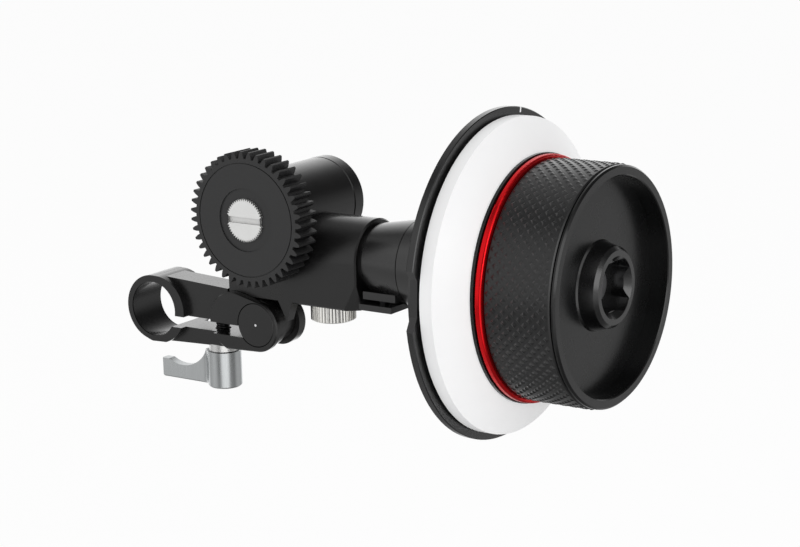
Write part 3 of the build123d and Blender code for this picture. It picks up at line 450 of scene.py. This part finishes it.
black_steel = grained("black_steel", (0.02, 0.02, 0.021), 0.32, 0.12, metallic=0.6, shade=0.2)
threaded_screw = grown(finished("threaded_clamp_screw", bmesh.new()), tree, {
    "Turns": thread_length / thread_pitch,
    "Root Radius": screw_reach - thread_depth,
    "Length": thread_length,
    "Depth": thread_depth * thread_bite,
    "Place": (screw_x, 0.0, screw_low.z + thread_depth),
    "Finish": black_steel})
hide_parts("clamp_screw")
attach(threaded_screw, "lever")

# ------------------------------------------------------------------ clamp lever and its spacer
# Aluminium lever, turned and milled, tumbled to a soft grey.  The spacer above it is
# bright turned steel.
streak_squeeze = 0.06


def streaks_group():
    """Fine upright streaks, as a height and a mask."""
    group, entry, result = finish_group(
        "upright_streaks", (("Lines", "Float"),), ("Height", "Streaks"))
    place = add(group, "ShaderNodeTexCoord")
    squeezed = add(group, "ShaderNodeVectorMath", {1: (1.0, 1.0, streak_squeeze)},
                   operation="MULTIPLY")
    join(group, place, "Object", squeezed, 0)
    lines = add(group, "ShaderNodeTexNoise", {"Detail": 3.0, "Roughness": 0.6})
    join(group, squeezed, 0, lines, "Vector")
    join(group, entry, "Lines", lines, "Scale")
    join(group, lines, 0, result, "Height")
    join(group, lines, 0, result, "Streaks")
    return group


upright_streaks = streaks_group()


def streaked(name, colour, roughness, lines, bump, shade):
    """Satin metal: a grained finish whose tint and height follow fine upright streaks."""
    finish = grained(name, colour, roughness, 0.10, grain=5000.0, bump=bump, metallic=1.0,
                     shade=shade)
    tree = finish.node_tree
    surface = tree.nodes["Principled BSDF"]
    texture = add(tree, "ShaderNodeGroup", {"Lines": lines}, node_tree=upright_streaks)
    join(tree, texture, "Streaks", surface.inputs["Base Color"].links[0].from_node, 0)
    join(tree, texture, "Height", surface.inputs["Normal"].links[0].from_node, "Height")
    return finish


dress("clamp_lever", streaked("lever_silver", (0.60, 0.62, 0.625), 0.28, 2600.0, 0.010, 0.10))
dress("lever_spacer", grained("spacer_silver", (0.80, 0.80, 0.79), 0.24, 0.10, metallic=0.8,
                              shade=0.05))

# ------------------------------------------------------------------ turned black pieces
# Split collar, index carrier, index ring, handwheel core and bezel: turned on the
# handwheel's axis, so their finish has fine rings round it.
wheel_low, wheel_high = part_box("front_bezel")
wheel_y = (wheel_low.y + wheel_high.y) / 2
wheel_z = (wheel_low.z + wheel_high.z) / 2
wide_ring_share = 0.12


def rings_group():
    """Fine turning rings round an X axis: a height, and a mask of wider rings."""
    group, entry, result = finish_group(
        "turning_rings", (("Axis Place", "Vector"), ("Rings", "Float")), ("Height", "Streaks"))
    place = add(group, "ShaderNodeTexCoord")
    centred = add(group, "ShaderNodeVectorMath", operation="SUBTRACT")
    join(group, place, "Object", centred, 0)
    join(group, entry, "Axis Place", centred, 1)
    across = add(group, "ShaderNodeVectorMath", {1: (0.0, 1.0, 1.0)}, operation="MULTIPLY")
    join(group, centred, 0, across, 0)
    radius = add(group, "ShaderNodeVectorMath", operation="LENGTH")
    join(group, across, 0, radius, 0)
    parts = add(group, "ShaderNodeSeparateXYZ")
    join(group, centred, 0, parts, 0)
    along = add(group, "ShaderNodeMath", operation="ADD")
    join(group, radius, "Value", along, 0)
    join(group, parts, "X", along, 1)
    lines = add(group, "ShaderNodeTexNoise", {"Detail": 2.0, "Roughness": 0.5},
                noise_dimensions="1D")
    join(group, along, 0, lines, "W")
    join(group, entry, "Rings", lines, "Scale")
    join(group, lines, 0, result, "Height")
    wide = add(group, "ShaderNodeMath", {1: wide_ring_share}, operation="MULTIPLY")
    join(group, entry, "Rings", wide, 0)
    streaks = add(group, "ShaderNodeTexNoise", {"Detail": 3.0, "Roughness": 0.6},
                  noise_dimensions="1D")
    join(group, along, 0, streaks, "W")
    join(group, wide, 0, streaks, "Scale")
    join(group, streaks, 0, result, "Streaks")
    return group


turning_rings = rings_group()


def turned(name, colour, roughness, rings=5200.0, cut=0.003, bump=0.006, metallic=0.0,
           specular=0.5, shade=0.2, glaze=0.0):
    """A grained finish whose colour and height also follow the rings left by the lathe.

    cut is the depth of the rings in millimetres.
    """
    finish = grained(name, colour, roughness, 0.1, 7000.0, bump, metallic, specular, shade, glaze)
    tree = finish.node_tree
    surface = tree.nodes["Principled BSDF"]
    ringed = add(tree, "ShaderNodeGroup",
                 {"Axis Place": (0.0, wheel_y, wheel_z), "Rings": rings},
                 node_tree=turning_rings)
    grain_relief = surface.inputs["Normal"].links[0].from_node
    relief = add(tree, "ShaderNodeBump", {"Strength": 1.0, "Distance": cut * mm})
    join(tree, ringed, "Height", relief, "Height")
    join(tree, grain_relief, 0, relief, "Normal")
    join(tree, relief, 0, surface, "Normal")
    patches = surface.inputs["Base Color"].links[0].from_node
    streaks = add(tree, "ShaderNodeMix", {0: 0.5}, data_type="RGBA", blend_type="MULTIPLY")
    ramp = add(tree, "ShaderNodeMapRange", {1: 0.3, 2: 0.7, 3: 1 - shade, 4: 1.0})
    join(tree, ringed, "Streaks", ramp, 0)
    join(tree, patches, 2, streaks, 6)
    join(tree, ramp, 0, streaks, 7)
    join(tree, streaks, 2, surface, "Base Color")
    return finish


collar_black = turned("collar_black", (0.0085, 0.0083, 0.0084), 0.26, specular=0.78, glaze=1.0)
dress("index_clamp_collar", collar_black)
dress("index_carrier", collar_black)
dress("index_ring", turned("ring_black", (0.0065, 0.0065, 0.0066), 0.26, specular=0.68,
                           glaze=1.0))
wheel_black = turned("wheel_black", (0.0042, 0.0044, 0.0045), 0.27, specular=0.42, glaze=0.6)
dress("handwheel_core", wheel_black)
dress("front_bezel", turned("bezel_black", (0.0050, 0.0050, 0.0051), 0.20, specular=0.42,
                            glaze=0.8))

# ------------------------------------------------------------------ index line
# White paint in a fine cut across the rim of the index ring and a little way down its
# front.  Marks on the disc are read against it.
ring_low, ring_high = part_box("index_ring")
ring_reach = (ring_high.z - ring_low.z) / 2
line_angle = math.radians(78.0)
line_width = 0.55 * mm
line_skin = 0.03 * mm
line_start = ring_low.x + 0.12 * mm
line_end = ring_high.x
line_fall = 1.4 * mm
line_bend = 0.2 * mm
line_sink = 4 * line_skin


def index_line():
    """A thin paint line along the ring's rim and down over its front edge."""
    along = Vector((1, 0, 0))
    outward = Vector((0, math.cos(line_angle), math.sin(line_angle)))
    beside = Vector((0, -math.sin(line_angle), math.cos(line_angle)))
    middle = Vector((0, wheel_y, wheel_z))
    path = [
        (line_start, ring_reach + line_skin, outward),
        (line_end - line_bend, ring_reach + line_skin, outward),
        (line_end + line_skin, ring_reach - line_bend, along),
        (line_end + line_skin, ring_reach - line_fall, along)]
    form = bmesh.new()
    sections = []
    for x, reach, facing in path:
        top = middle + outward * reach + along * x
        sections.append([
            form.verts.new(top + beside * side * line_width / 2 - facing * sink)
            for side, sink in ((-1, 0), (1, 0), (1, line_sink), (-1, line_sink))])
    skinned(form, sections)
    return finished("index_line", form)


white_line = index_line()
white_line.data.materials.append(grained("line_white", (0.88, 0.88, 0.88), 0.5, 0.1, shade=0.03))
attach(white_line, "index")

# ------------------------------------------------------------------ knurled grip
# Aluminium sleeve, knurled all over: rows of small raised points, each row half a step
# round from the last, then anodised black.
grip_low, grip_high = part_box("grip_sleeve")
grip_reach = (grip_high.z - grip_low.z) / 2
grip_wall = 1.5 * mm
grip_edge = 0.5 * mm
grip_bevel = 0.3 * mm
point_height = 0.27 * mm
point_top = 0.28
point_sink = 0.01 * mm
grip_base = grip_reach - point_height
point_rows = 12
point_columns = 70
grip_sides = 280
row_step = (grip_high.x - grip_low.x - 2 * grip_edge) / point_rows
point_fill = 0.46
point_long = point_fill * row_step
point_wide = point_fill * math.pi * grip_base / point_columns
corner_reach = 2 ** 0.5
soft_edge = math.radians(30)
grip_profile = [
    (grip_low.x, grip_reach - grip_wall),
    (grip_low.x, grip_base - grip_bevel),
    (grip_low.x + grip_bevel, grip_base),
    (grip_high.x - grip_bevel, grip_base),
    (grip_high.x, grip_base - grip_bevel),
    (grip_high.x, grip_reach - grip_wall)]


def turned_ring(name, profile, sides):
    """A closed ring turned about the handwheel's axis from (x, radius) points."""
    form = bmesh.new()
    loops = []
    for k in range(sides):
        angle = 2 * math.pi * k / sides
        loops.append([
            form.verts.new((x, wheel_y + reach * math.cos(angle),
                            wheel_z + reach * math.sin(angle)))
            for x, reach in profile])
    count = len(profile)
    for k in range(sides):
        here = loops[k]
        after = loops[(k + 1) % sides]
        for j in range(count):
            form.faces.new((here[j], here[(j + 1) % count], after[(j + 1) % count], after[j]))
    return finished(name, form, soft_edge)


tree, entry, result = geometry_tree("knurl", (
    ("Sleeve", "Geometry"), ("Rows", "Int"), ("Columns", "Int"), ("Start", "Float"),
    ("Row Step", "Float"), ("Radius", "Float"), ("Point Long", "Float"), ("Point Wide", "Float"),
    ("Point Height", "Float"), ("Axis Place", "Vector"), ("Finish", "Material")))
count = add(tree, "ShaderNodeMath", operation="MULTIPLY")
join(tree, entry, "Rows", count, 0)
join(tree, entry, "Columns", count, 1)
points = add(tree, "GeometryNodePoints")
join(tree, count, 0, points, "Count")
number = add(tree, "GeometryNodeInputIndex")
divided = add(tree, "ShaderNodeMath", operation="DIVIDE")
join(tree, number, 0, divided, 0)
join(tree, entry, "Columns", divided, 1)
# A nudge keeps a whole number from falling to the row below it.
nudged = add(tree, "ShaderNodeMath", {1: 0.0005}, operation="ADD")
join(tree, divided, 0, nudged, 0)
row = add(tree, "ShaderNodeMath", operation="FLOOR")
join(tree, nudged, 0, row, 0)
row_start = add(tree, "ShaderNodeMath", operation="MULTIPLY")
join(tree, row, 0, row_start, 0)
join(tree, entry, "Columns", row_start, 1)
column = add(tree, "ShaderNodeMath", operation="SUBTRACT")
join(tree, number, 0, column, 0)
join(tree, row_start, 0, column, 1)
odd = add(tree, "ShaderNodeMath", {1: 2.0}, operation="MODULO")
join(tree, row, 0, odd, 0)
shifted = add(tree, "ShaderNodeMath", {1: 0.5}, operation="MULTIPLY_ADD")
join(tree, odd, 0, shifted, 0)
join(tree, column, 0, shifted, 2)
part_turn = add(tree, "ShaderNodeMath", operation="DIVIDE")
join(tree, shifted, 0, part_turn, 0)
join(tree, entry, "Columns", part_turn, 1)
angle = add(tree, "ShaderNodeMath", {1: 2 * math.pi}, operation="MULTIPLY")
join(tree, part_turn, 0, angle, 0)
cosine = add(tree, "ShaderNodeMath", operation="COSINE")
join(tree, angle, 0, cosine, 0)
sine = add(tree, "ShaderNodeMath", operation="SINE")
join(tree, angle, 0, sine, 0)
place_y = add(tree, "ShaderNodeMath", operation="MULTIPLY")
join(tree, cosine, 0, place_y, 0)
join(tree, entry, "Radius", place_y, 1)
place_z = add(tree, "ShaderNodeMath", operation="MULTIPLY")
join(tree, sine, 0, place_z, 0)
join(tree, entry, "Radius", place_z, 1)
half_row = add(tree, "ShaderNodeMath", {1: 0.5}, operation="ADD")
join(tree, row, 0, half_row, 0)
place_x = add(tree, "ShaderNodeMath", operation="MULTIPLY_ADD")
join(tree, half_row, 0, place_x, 0)
join(tree, entry, "Row Step", place_x, 1)
join(tree, entry, "Start", place_x, 2)
offset = add(tree, "ShaderNodeCombineXYZ")
join(tree, place_x, 0, offset, "X")
join(tree, place_y, 0, offset, "Y")
join(tree, place_z, 0, offset, "Z")
placed = add(tree, "ShaderNodeVectorMath", operation="ADD")
join(tree, offset, 0, placed, 0)
join(tree, entry, "Axis Place", placed, 1)
moved = add(tree, "GeometryNodeSetPosition")
join(tree, points, 0, moved, "Geometry")
join(tree, placed, 0, moved, "Position")
leaned = add(tree, "ShaderNodeMath", {1: math.pi / 2}, operation="SUBTRACT")
join(tree, angle, 0, leaned, 0)
turn = add(tree, "ShaderNodeCombineXYZ")
join(tree, leaned, 0, turn, "X")
turning = add(tree, "FunctionNodeEulerToRotation")
join(tree, turn, 0, turning, 0)
point = add(tree, "GeometryNodeMeshCone", {
    "Vertices": 4, "Radius Top": point_top, "Radius Bottom": 1.0, "Depth": 1.0})
size = add(tree, "ShaderNodeCombineXYZ")
join(tree, entry, "Point Long", size, "X")
join(tree, entry, "Point Wide", size, "Y")
join(tree, entry, "Point Height", size, "Z")
spread = add(tree, "GeometryNodeInstanceOnPoints")
join(tree, moved, 0, spread, "Points")
join(tree, point, "Mesh", spread, "Instance")
join(tree, turning, 0, spread, "Rotation")
join(tree, size, 0, spread, "Scale")
whole = add(tree, "GeometryNodeJoinGeometry")
join(tree, spread, 0, whole, 0)
join(tree, entry, "Sleeve", whole, 0)
real = add(tree, "GeometryNodeRealizeInstances")
join(tree, whole, 0, real, 0)
coloured = add(tree, "GeometryNodeSetMaterial")
join(tree, real, 0, coloured, 0)
join(tree, entry, "Finish", coloured, "Material")
join(tree, coloured, 0, result, 0)

grip_black = grained("grip_black", (0.0080, 0.0080, 0.0082), 0.33, 0.10, bump=0.006,
                     specular=0.56, glaze=0.7, glaze_roughness=0.3)
grip = grown(turned_ring("knurled_grip", grip_profile, grip_sides), tree, {
    "Rows": point_rows,
    "Columns": point_columns,
    "Start": grip_low.x + grip_edge,
    "Row Step": row_step,
    "Radius": grip_base - point_sink,
    "Point Long": point_long * corner_reach,
    "Point Wide": point_wide * corner_reach,
    "Point Height": point_height,
    "Axis Place": (0.0, wheel_y, wheel_z),
    "Finish": grip_black})
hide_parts("grip_sleeve")
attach(grip, "wheel")
dress("grip_sleeve", grip_black)

# ------------------------------------------------------------------ hub socket
# Steel socket in the middle of the dish, turned and broached, then blackened and waxed.
# Four screws from behind hold it, and a whip or a crank goes into it.
dress("hub_socket", grained("hub_satin", (0.003, 0.003, 0.0032), 0.27, 0.08, bump=0.003,
                            specular=0.85, glaze=0.6, glaze_roughness=0.1))

# ------------------------------------------------------------------ marking disc and red ring
# The disc is moulded in white and takes marker pen.  The ring is turned aluminium,
# polished and anodised red.
dress("marking_disc", turned("disc_white", (0.905, 0.906, 0.91), 0.34, rings=3000.0, cut=0.001,
                             bump=0.003, shade=0.015))
dress("red_ring", turned("red_anodised", (0.74, 0.008, 0.012), 0.20, cut=0.001, bump=0.002,
                         metallic=0.9, shade=0.06))

# ------------------------------------------------------------------ drive gear and its screw
# Gear of black acetal, cut on a hobbing machine, so it is matt and a little lighter than
# the metal.  Its silver screw has a serrated rim for the fingers, and a coin slot.
dress("drive_gear", grained("gear_black", (0.0215, 0.0215, 0.0220), 0.46, 0.14, bump=0.014,
                            shade=0.12))
gear_low, gear_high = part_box("drive_gear")
head_low, head_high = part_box("gear_screw")
gear_x = (gear_low.x + gear_high.x) / 2
gear_z = (gear_low.z + gear_high.z) / 2
head_reach = (head_high.x - head_low.x) / 2
head_height = 0.73 * mm
head_sides = 96
serrations = 50
tooth_width = 0.36 * mm
tooth_depth = 0.68 * mm
tooth_inset = 1.02 * tooth_depth
tooth_share = 0.9
slot_half = 0.82 * mm
slot_depth = 0.58 * mm
slot_floor = head_low.y + slot_depth
# Painted shade in the screw head's recesses: the depths below the face where it starts and is
# full, and how much colour it leaves on the walls and on the floor.
edge_start = 0.03 * mm
edge_full = 0.12 * mm
painted_wall_shade = 0.30
painted_floor_shade = 0.94

tree, entry, result = geometry_tree("rim_ribs", (
    ("Body", "Geometry"), ("Count", "Int"), ("Rim Radius", "Float"), ("Rib Radius", "Float"),
    ("Rib Length", "Float"), ("Rib Sides", "Int"), ("Rib Stretch", "Vector"), ("Middle", "Vector"),
    ("Lean", "Vector"), ("Gap Half", "Float"), ("Finish", "Material")))
points = add(tree, "GeometryNodePoints")
join(tree, entry, "Count", points, "Count")
number = add(tree, "GeometryNodeInputIndex")
part_turn = add(tree, "ShaderNodeMath", operation="DIVIDE")
join(tree, number, 0, part_turn, 0)
join(tree, entry, "Count", part_turn, 1)
angle = add(tree, "ShaderNodeMath", {1: 2 * math.pi}, operation="MULTIPLY")
join(tree, part_turn, 0, angle, 0)
cosine = add(tree, "ShaderNodeMath", operation="COSINE")
join(tree, angle, 0, cosine, 0)
sine = add(tree, "ShaderNodeMath", operation="SINE")
join(tree, angle, 0, sine, 0)
offset = add(tree, "ShaderNodeCombineXYZ")
join(tree, cosine, 0, offset, "X")
join(tree, sine, 0, offset, "Y")
spaced = add(tree, "ShaderNodeVectorMath", operation="SCALE")
join(tree, offset, 0, spaced, 0)
join(tree, entry, "Rim Radius", spaced, "Scale")
moved = add(tree, "GeometryNodeSetPosition")
join(tree, points, 0, moved, "Geometry")
join(tree, spaced, 0, moved, "Position")
turn = add(tree, "ShaderNodeCombineXYZ")
join(tree, angle, 0, turn, "Z")
turning = add(tree, "FunctionNodeEulerToRotation")
join(tree, turn, 0, turning, 0)
rib = add(tree, "GeometryNodeMeshCylinder")
join(tree, entry, "Rib Sides", rib, "Vertices")
join(tree, entry, "Rib Radius", rib, "Radius")
join(tree, entry, "Rib Length", rib, "Depth")
spread = add(tree, "GeometryNodeInstanceOnPoints")
join(tree, moved, 0, spread, "Points")
join(tree, rib, "Mesh", spread, "Instance")
place_parts = add(tree, "ShaderNodeSeparateXYZ")
join(tree, spaced, 0, place_parts, 0)
off_middle = add(tree, "ShaderNodeMath", operation="ABSOLUTE")
join(tree, place_parts, "Y", off_middle, 0)
past_gap = add(tree, "FunctionNodeCompare", operation="GREATER_EQUAL")
join(tree, off_middle, 0, past_gap, 0)
join(tree, entry, "Gap Half", past_gap, 1)
join(tree, past_gap, 0, spread, "Selection")
join(tree, turning, 0, spread, "Rotation")
join(tree, entry, "Rib Stretch", spread, "Scale")
leaned = add(tree, "FunctionNodeEulerToRotation")
join(tree, entry, "Lean", leaned, 0)
placed = add(tree, "GeometryNodeTransform")
join(tree, spread, 0, placed, "Geometry")
join(tree, entry, "Middle", placed, "Translation")
join(tree, leaned, 0, placed, "Rotation")
whole = add(tree, "GeometryNodeJoinGeometry")
join(tree, placed, 0, whole, 0)
join(tree, entry, "Body", whole, 0)
real = add(tree, "GeometryNodeRealizeInstances")
join(tree, whole, 0, real, 0)
coloured = add(tree, "GeometryNodeSetMaterial")
join(tree, real, 0, coloured, 0)
join(tree, entry, "Finish", coloured, "Material")
join(tree, coloured, 0, result, 0)
rim_ribs = tree


def slotted_head(name, centre_x, centre_z, front, back, reach, sides):
    """A flat round head facing -Y with a slot across it."""
    form = bmesh.new()
    bmesh.ops.create_cone(form, cap_ends=True, segments=sides, radius1=reach, radius2=reach,
                          depth=back - front)
    bmesh.ops.rotate(form, verts=form.verts, matrix=Matrix.Rotation(math.radians(90), 3, "X"))
    bmesh.ops.translate(form, verts=form.verts, vec=(centre_x, (front + back) / 2, centre_z))
    for height in (-slot_half, slot_half):
        bmesh.ops.bisect_plane(form, geom=form.verts[:] + form.edges[:] + form.faces[:],
                               plane_co=(centre_x, front, centre_z + height), plane_no=(0, 0, 1))
    face_strip = [face for face in form.faces
                  if abs(face.calc_center_median().z - centre_z) < slot_half / 2
                  and face.normal.y < -0.5]
    sunk = bmesh.ops.extrude_face_region(form, geom=face_strip)
    bmesh.ops.delete(form, geom=face_strip, context="FACES")
    bmesh.ops.translate(form, verts=[v for v in sunk["geom"] if isinstance(v, bmesh.types.BMVert)],
                        vec=(0, slot_depth, 0))
    bmesh.ops.remove_doubles(form, verts=form.verts, dist=1e-7)
    return finished(name, form)


def painted_recess_shade(finish, front, floor):
    """Paints shade into a finish's colour between the teeth and on the slot's walls, and less on
    its floor.
    """
    tree = finish.node_tree
    surface = tree.nodes["Principled BSDF"]
    own_colour = surface.inputs["Base Color"].links[0].from_node
    place = add(tree, "ShaderNodeTexCoord")
    parts = add(tree, "ShaderNodeSeparateXYZ")
    join(tree, place, "Object", parts, 0)
    wall = add(tree, "ShaderNodeMapRange",
               {1: front + edge_start, 2: front + edge_full, 3: 1.0, 4: painted_wall_shade})
    join(tree, parts, "Y", wall, 0)
    bottom = add(tree, "ShaderNodeMapRange",
                 {1: floor - edge_full, 2: floor - edge_start, 3: painted_wall_shade, 4: painted_floor_shade})
    join(tree, parts, "Y", bottom, 0)
    depth = add(tree, "ShaderNodeMath", operation="MAXIMUM")
    join(tree, wall, 0, depth, 0)
    join(tree, bottom, 0, depth, 1)
    shaded = add(tree, "ShaderNodeMix", {0: 1.0}, data_type="RGBA", blend_type="MULTIPLY")
    join(tree, own_colour, 2, shaded, 6)
    join(tree, depth, 0, shaded, 7)
    join(tree, shaded, 2, surface, "Base Color")
    return finish


blasted_silver = grained("gear_screw_silver", (0.90, 0.90, 0.89), 0.50, 0.12, grain=2500.0,
                         bump=0.03, metallic=0.55, shade=0.06)
# The screw's colour gets painted shade between its teeth and in its slot.
blasted_silver = painted_recess_shade(blasted_silver, head_low.y, slot_floor)
screw_head = slotted_head("serrated_gear_screw", gear_x, gear_z, head_low.y,
                          head_low.y + head_height, head_reach - tooth_depth, head_sides)
screw_head = grown(screw_head, rim_ribs, {
    "Count": serrations,
    "Rim Radius": head_reach - tooth_inset,
    "Rib Radius": tooth_width,
    "Rib Length": head_height * tooth_share,
    "Rib Sides": 4,
    "Rib Stretch": (tooth_depth / tooth_width, 1.0, 1.0),
    "Middle": (gear_x, head_low.y + head_height * 0.5, gear_z),
    "Lean": (math.pi / 2, 0.0, 0.0),
    "Gap Half": slot_half,
    "Finish": blasted_silver})
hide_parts("gear_screw")
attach(screw_head, "gear")

# ------------------------------------------------------------------ lock thumbscrew
# Silver thumbscrew under the gearbox, turned, with straight ribs pressed round its head
# for the fingers.  Its end bears on the pad under the handwheel's shaft.
thumb_low, thumb_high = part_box("lock_thumbscrew")
thumb_x = (thumb_low.x + thumb_high.x) / 2
thumb_y = (thumb_low.y + thumb_high.y) / 2
thumb_reach = (thumb_high.x - thumb_low.x) / 2
thumb_height = 5.4 * mm
thumb_lead = 0.5 * mm
thumb_bevel = 0.3 * mm
thumb_sides = 88
thumb_ribs = 44
rib_radius = 0.27 * mm
rib_length = thumb_height - 0.7 * mm
stem_radius = 2.0 * mm
thumb_core = thumb_reach - rib_radius


def turned_upright(name, centre_x, centre_y, profile, sides):
    """A closed solid turned about an upright axis from (height, radius) points."""
    form = bmesh.new()
    skinned(form, [
        [form.verts.new((centre_x + reach * math.cos(2 * math.pi * k / sides),
                         centre_y + reach * math.sin(2 * math.pi * k / sides), height))
         for k in range(sides)]
        for height, reach in profile])
    return finished(name, form, soft_edge)


thumb_silver = grained("thumbscrew_silver", (0.84, 0.83, 0.80), 0.30, 0.12, metallic=1.0,
                       shade=0.06)
thumb_head = turned_upright("ribbed_thumbscrew", thumb_x, thumb_y, [
    (thumb_low.z, thumb_core - thumb_lead),
    (thumb_low.z + thumb_bevel, thumb_core),
    (thumb_low.z + thumb_height - thumb_bevel, thumb_core),
    (thumb_low.z + thumb_height, thumb_core - thumb_bevel),
    (thumb_low.z + thumb_height, stem_radius),
    (thumb_high.z, stem_radius)], thumb_sides)
thumb_head = grown(thumb_head, rim_ribs, {
    "Count": thumb_ribs,
    "Rim Radius": thumb_core,
    "Rib Radius": rib_radius,
    "Rib Length": rib_length,
    "Rib Sides": 6,
    "Rib Stretch": (1.0, 1.0, 1.0),
    "Middle": (thumb_x, thumb_y, thumb_low.z + thumb_height / 2),
    "Lean": (0.0, 0.0, 0.0),
    "Gap Half": 0.0,
    "Finish": thumb_silver})
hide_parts("lock_thumbscrew")
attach(thumb_head, "lock")

# ------------------------------------------------------------------ steel parts
# Shafts, pinions, clips, pins and small screws: ground or machined steel, pressed or
# screwed in and mostly hidden.  The plain solids of the three dressed screws match them.
steel = grained("steel", (0.55, 0.55, 0.56), 0.32, 0.12, metallic=1.0, shade=0.08)
for steel_piece in (
        "clamp_thread_insert", "clamp_screw", "lever_end_screw", "rear_cap_screws",
        "pivot_retaining_washer", "pivot_retaining_screw", "gear_shaft", "gear_drive_pins",
        "gear_shaft_pinion", "gear_shaft_clip", "wheel_shaft", "wheel_shaft_pinion",
        "wheel_shaft_spacer", "wheel_shaft_clip", "hub_socket_screws", "wheel_screw",
        "index_ring_screws", "gear_screw", "lock_thumbscrew"):
    dress(steel_piece, steel)

# ------------------------------------------------------------------ collar screws
# Blackened steel, as the clamp's screw: one closes the split collar's foot, and the grub
# screw holds the collar's spigot in the gearbox.
for black_screw in ("collar_clamp_screw", "collar_grub_screw"):
    dress(black_screw, black_steel)

# ------------------------------------------------------------------ bearings
# Ball bearings of polished steel, pressed into the gearbox and the index carrier.
# Only the rims of their rings could ever be seen.
bearing_steel = grained("bearing_steel", (0.62, 0.62, 0.63), 0.22, 0.1, metallic=1.0, shade=0.06)
for bearing_piece in ("gear_bearing_front", "gear_bearing_rear", "wheel_bearing_left",
                      "wheel_bearing_right", "index_carrier_bearing"):
    dress(bearing_piece, bearing_steel)

# ------------------------------------------------------------------ washers, magnets and pad
# Dark bronze washers sit between the clamp's fork and the gearbox's tongue.  The disc's
# magnets are nickel plated and glued in.  The pad that brakes the shaft is moulded plastic.
dress("pivot_friction_washers", grained("dark_bronze", (0.05, 0.042, 0.032), 0.35, 0.12,
                                        metallic=0.7, shade=0.08))
dress("disc_magnets", grained("nickel", (0.7, 0.69, 0.66), 0.16, 0.08, metallic=1.0, shade=0.04))
dress("brake_pad", grained("pad_plastic", (0.78, 0.78, 0.75), 0.5, 0.1, shade=0.04))
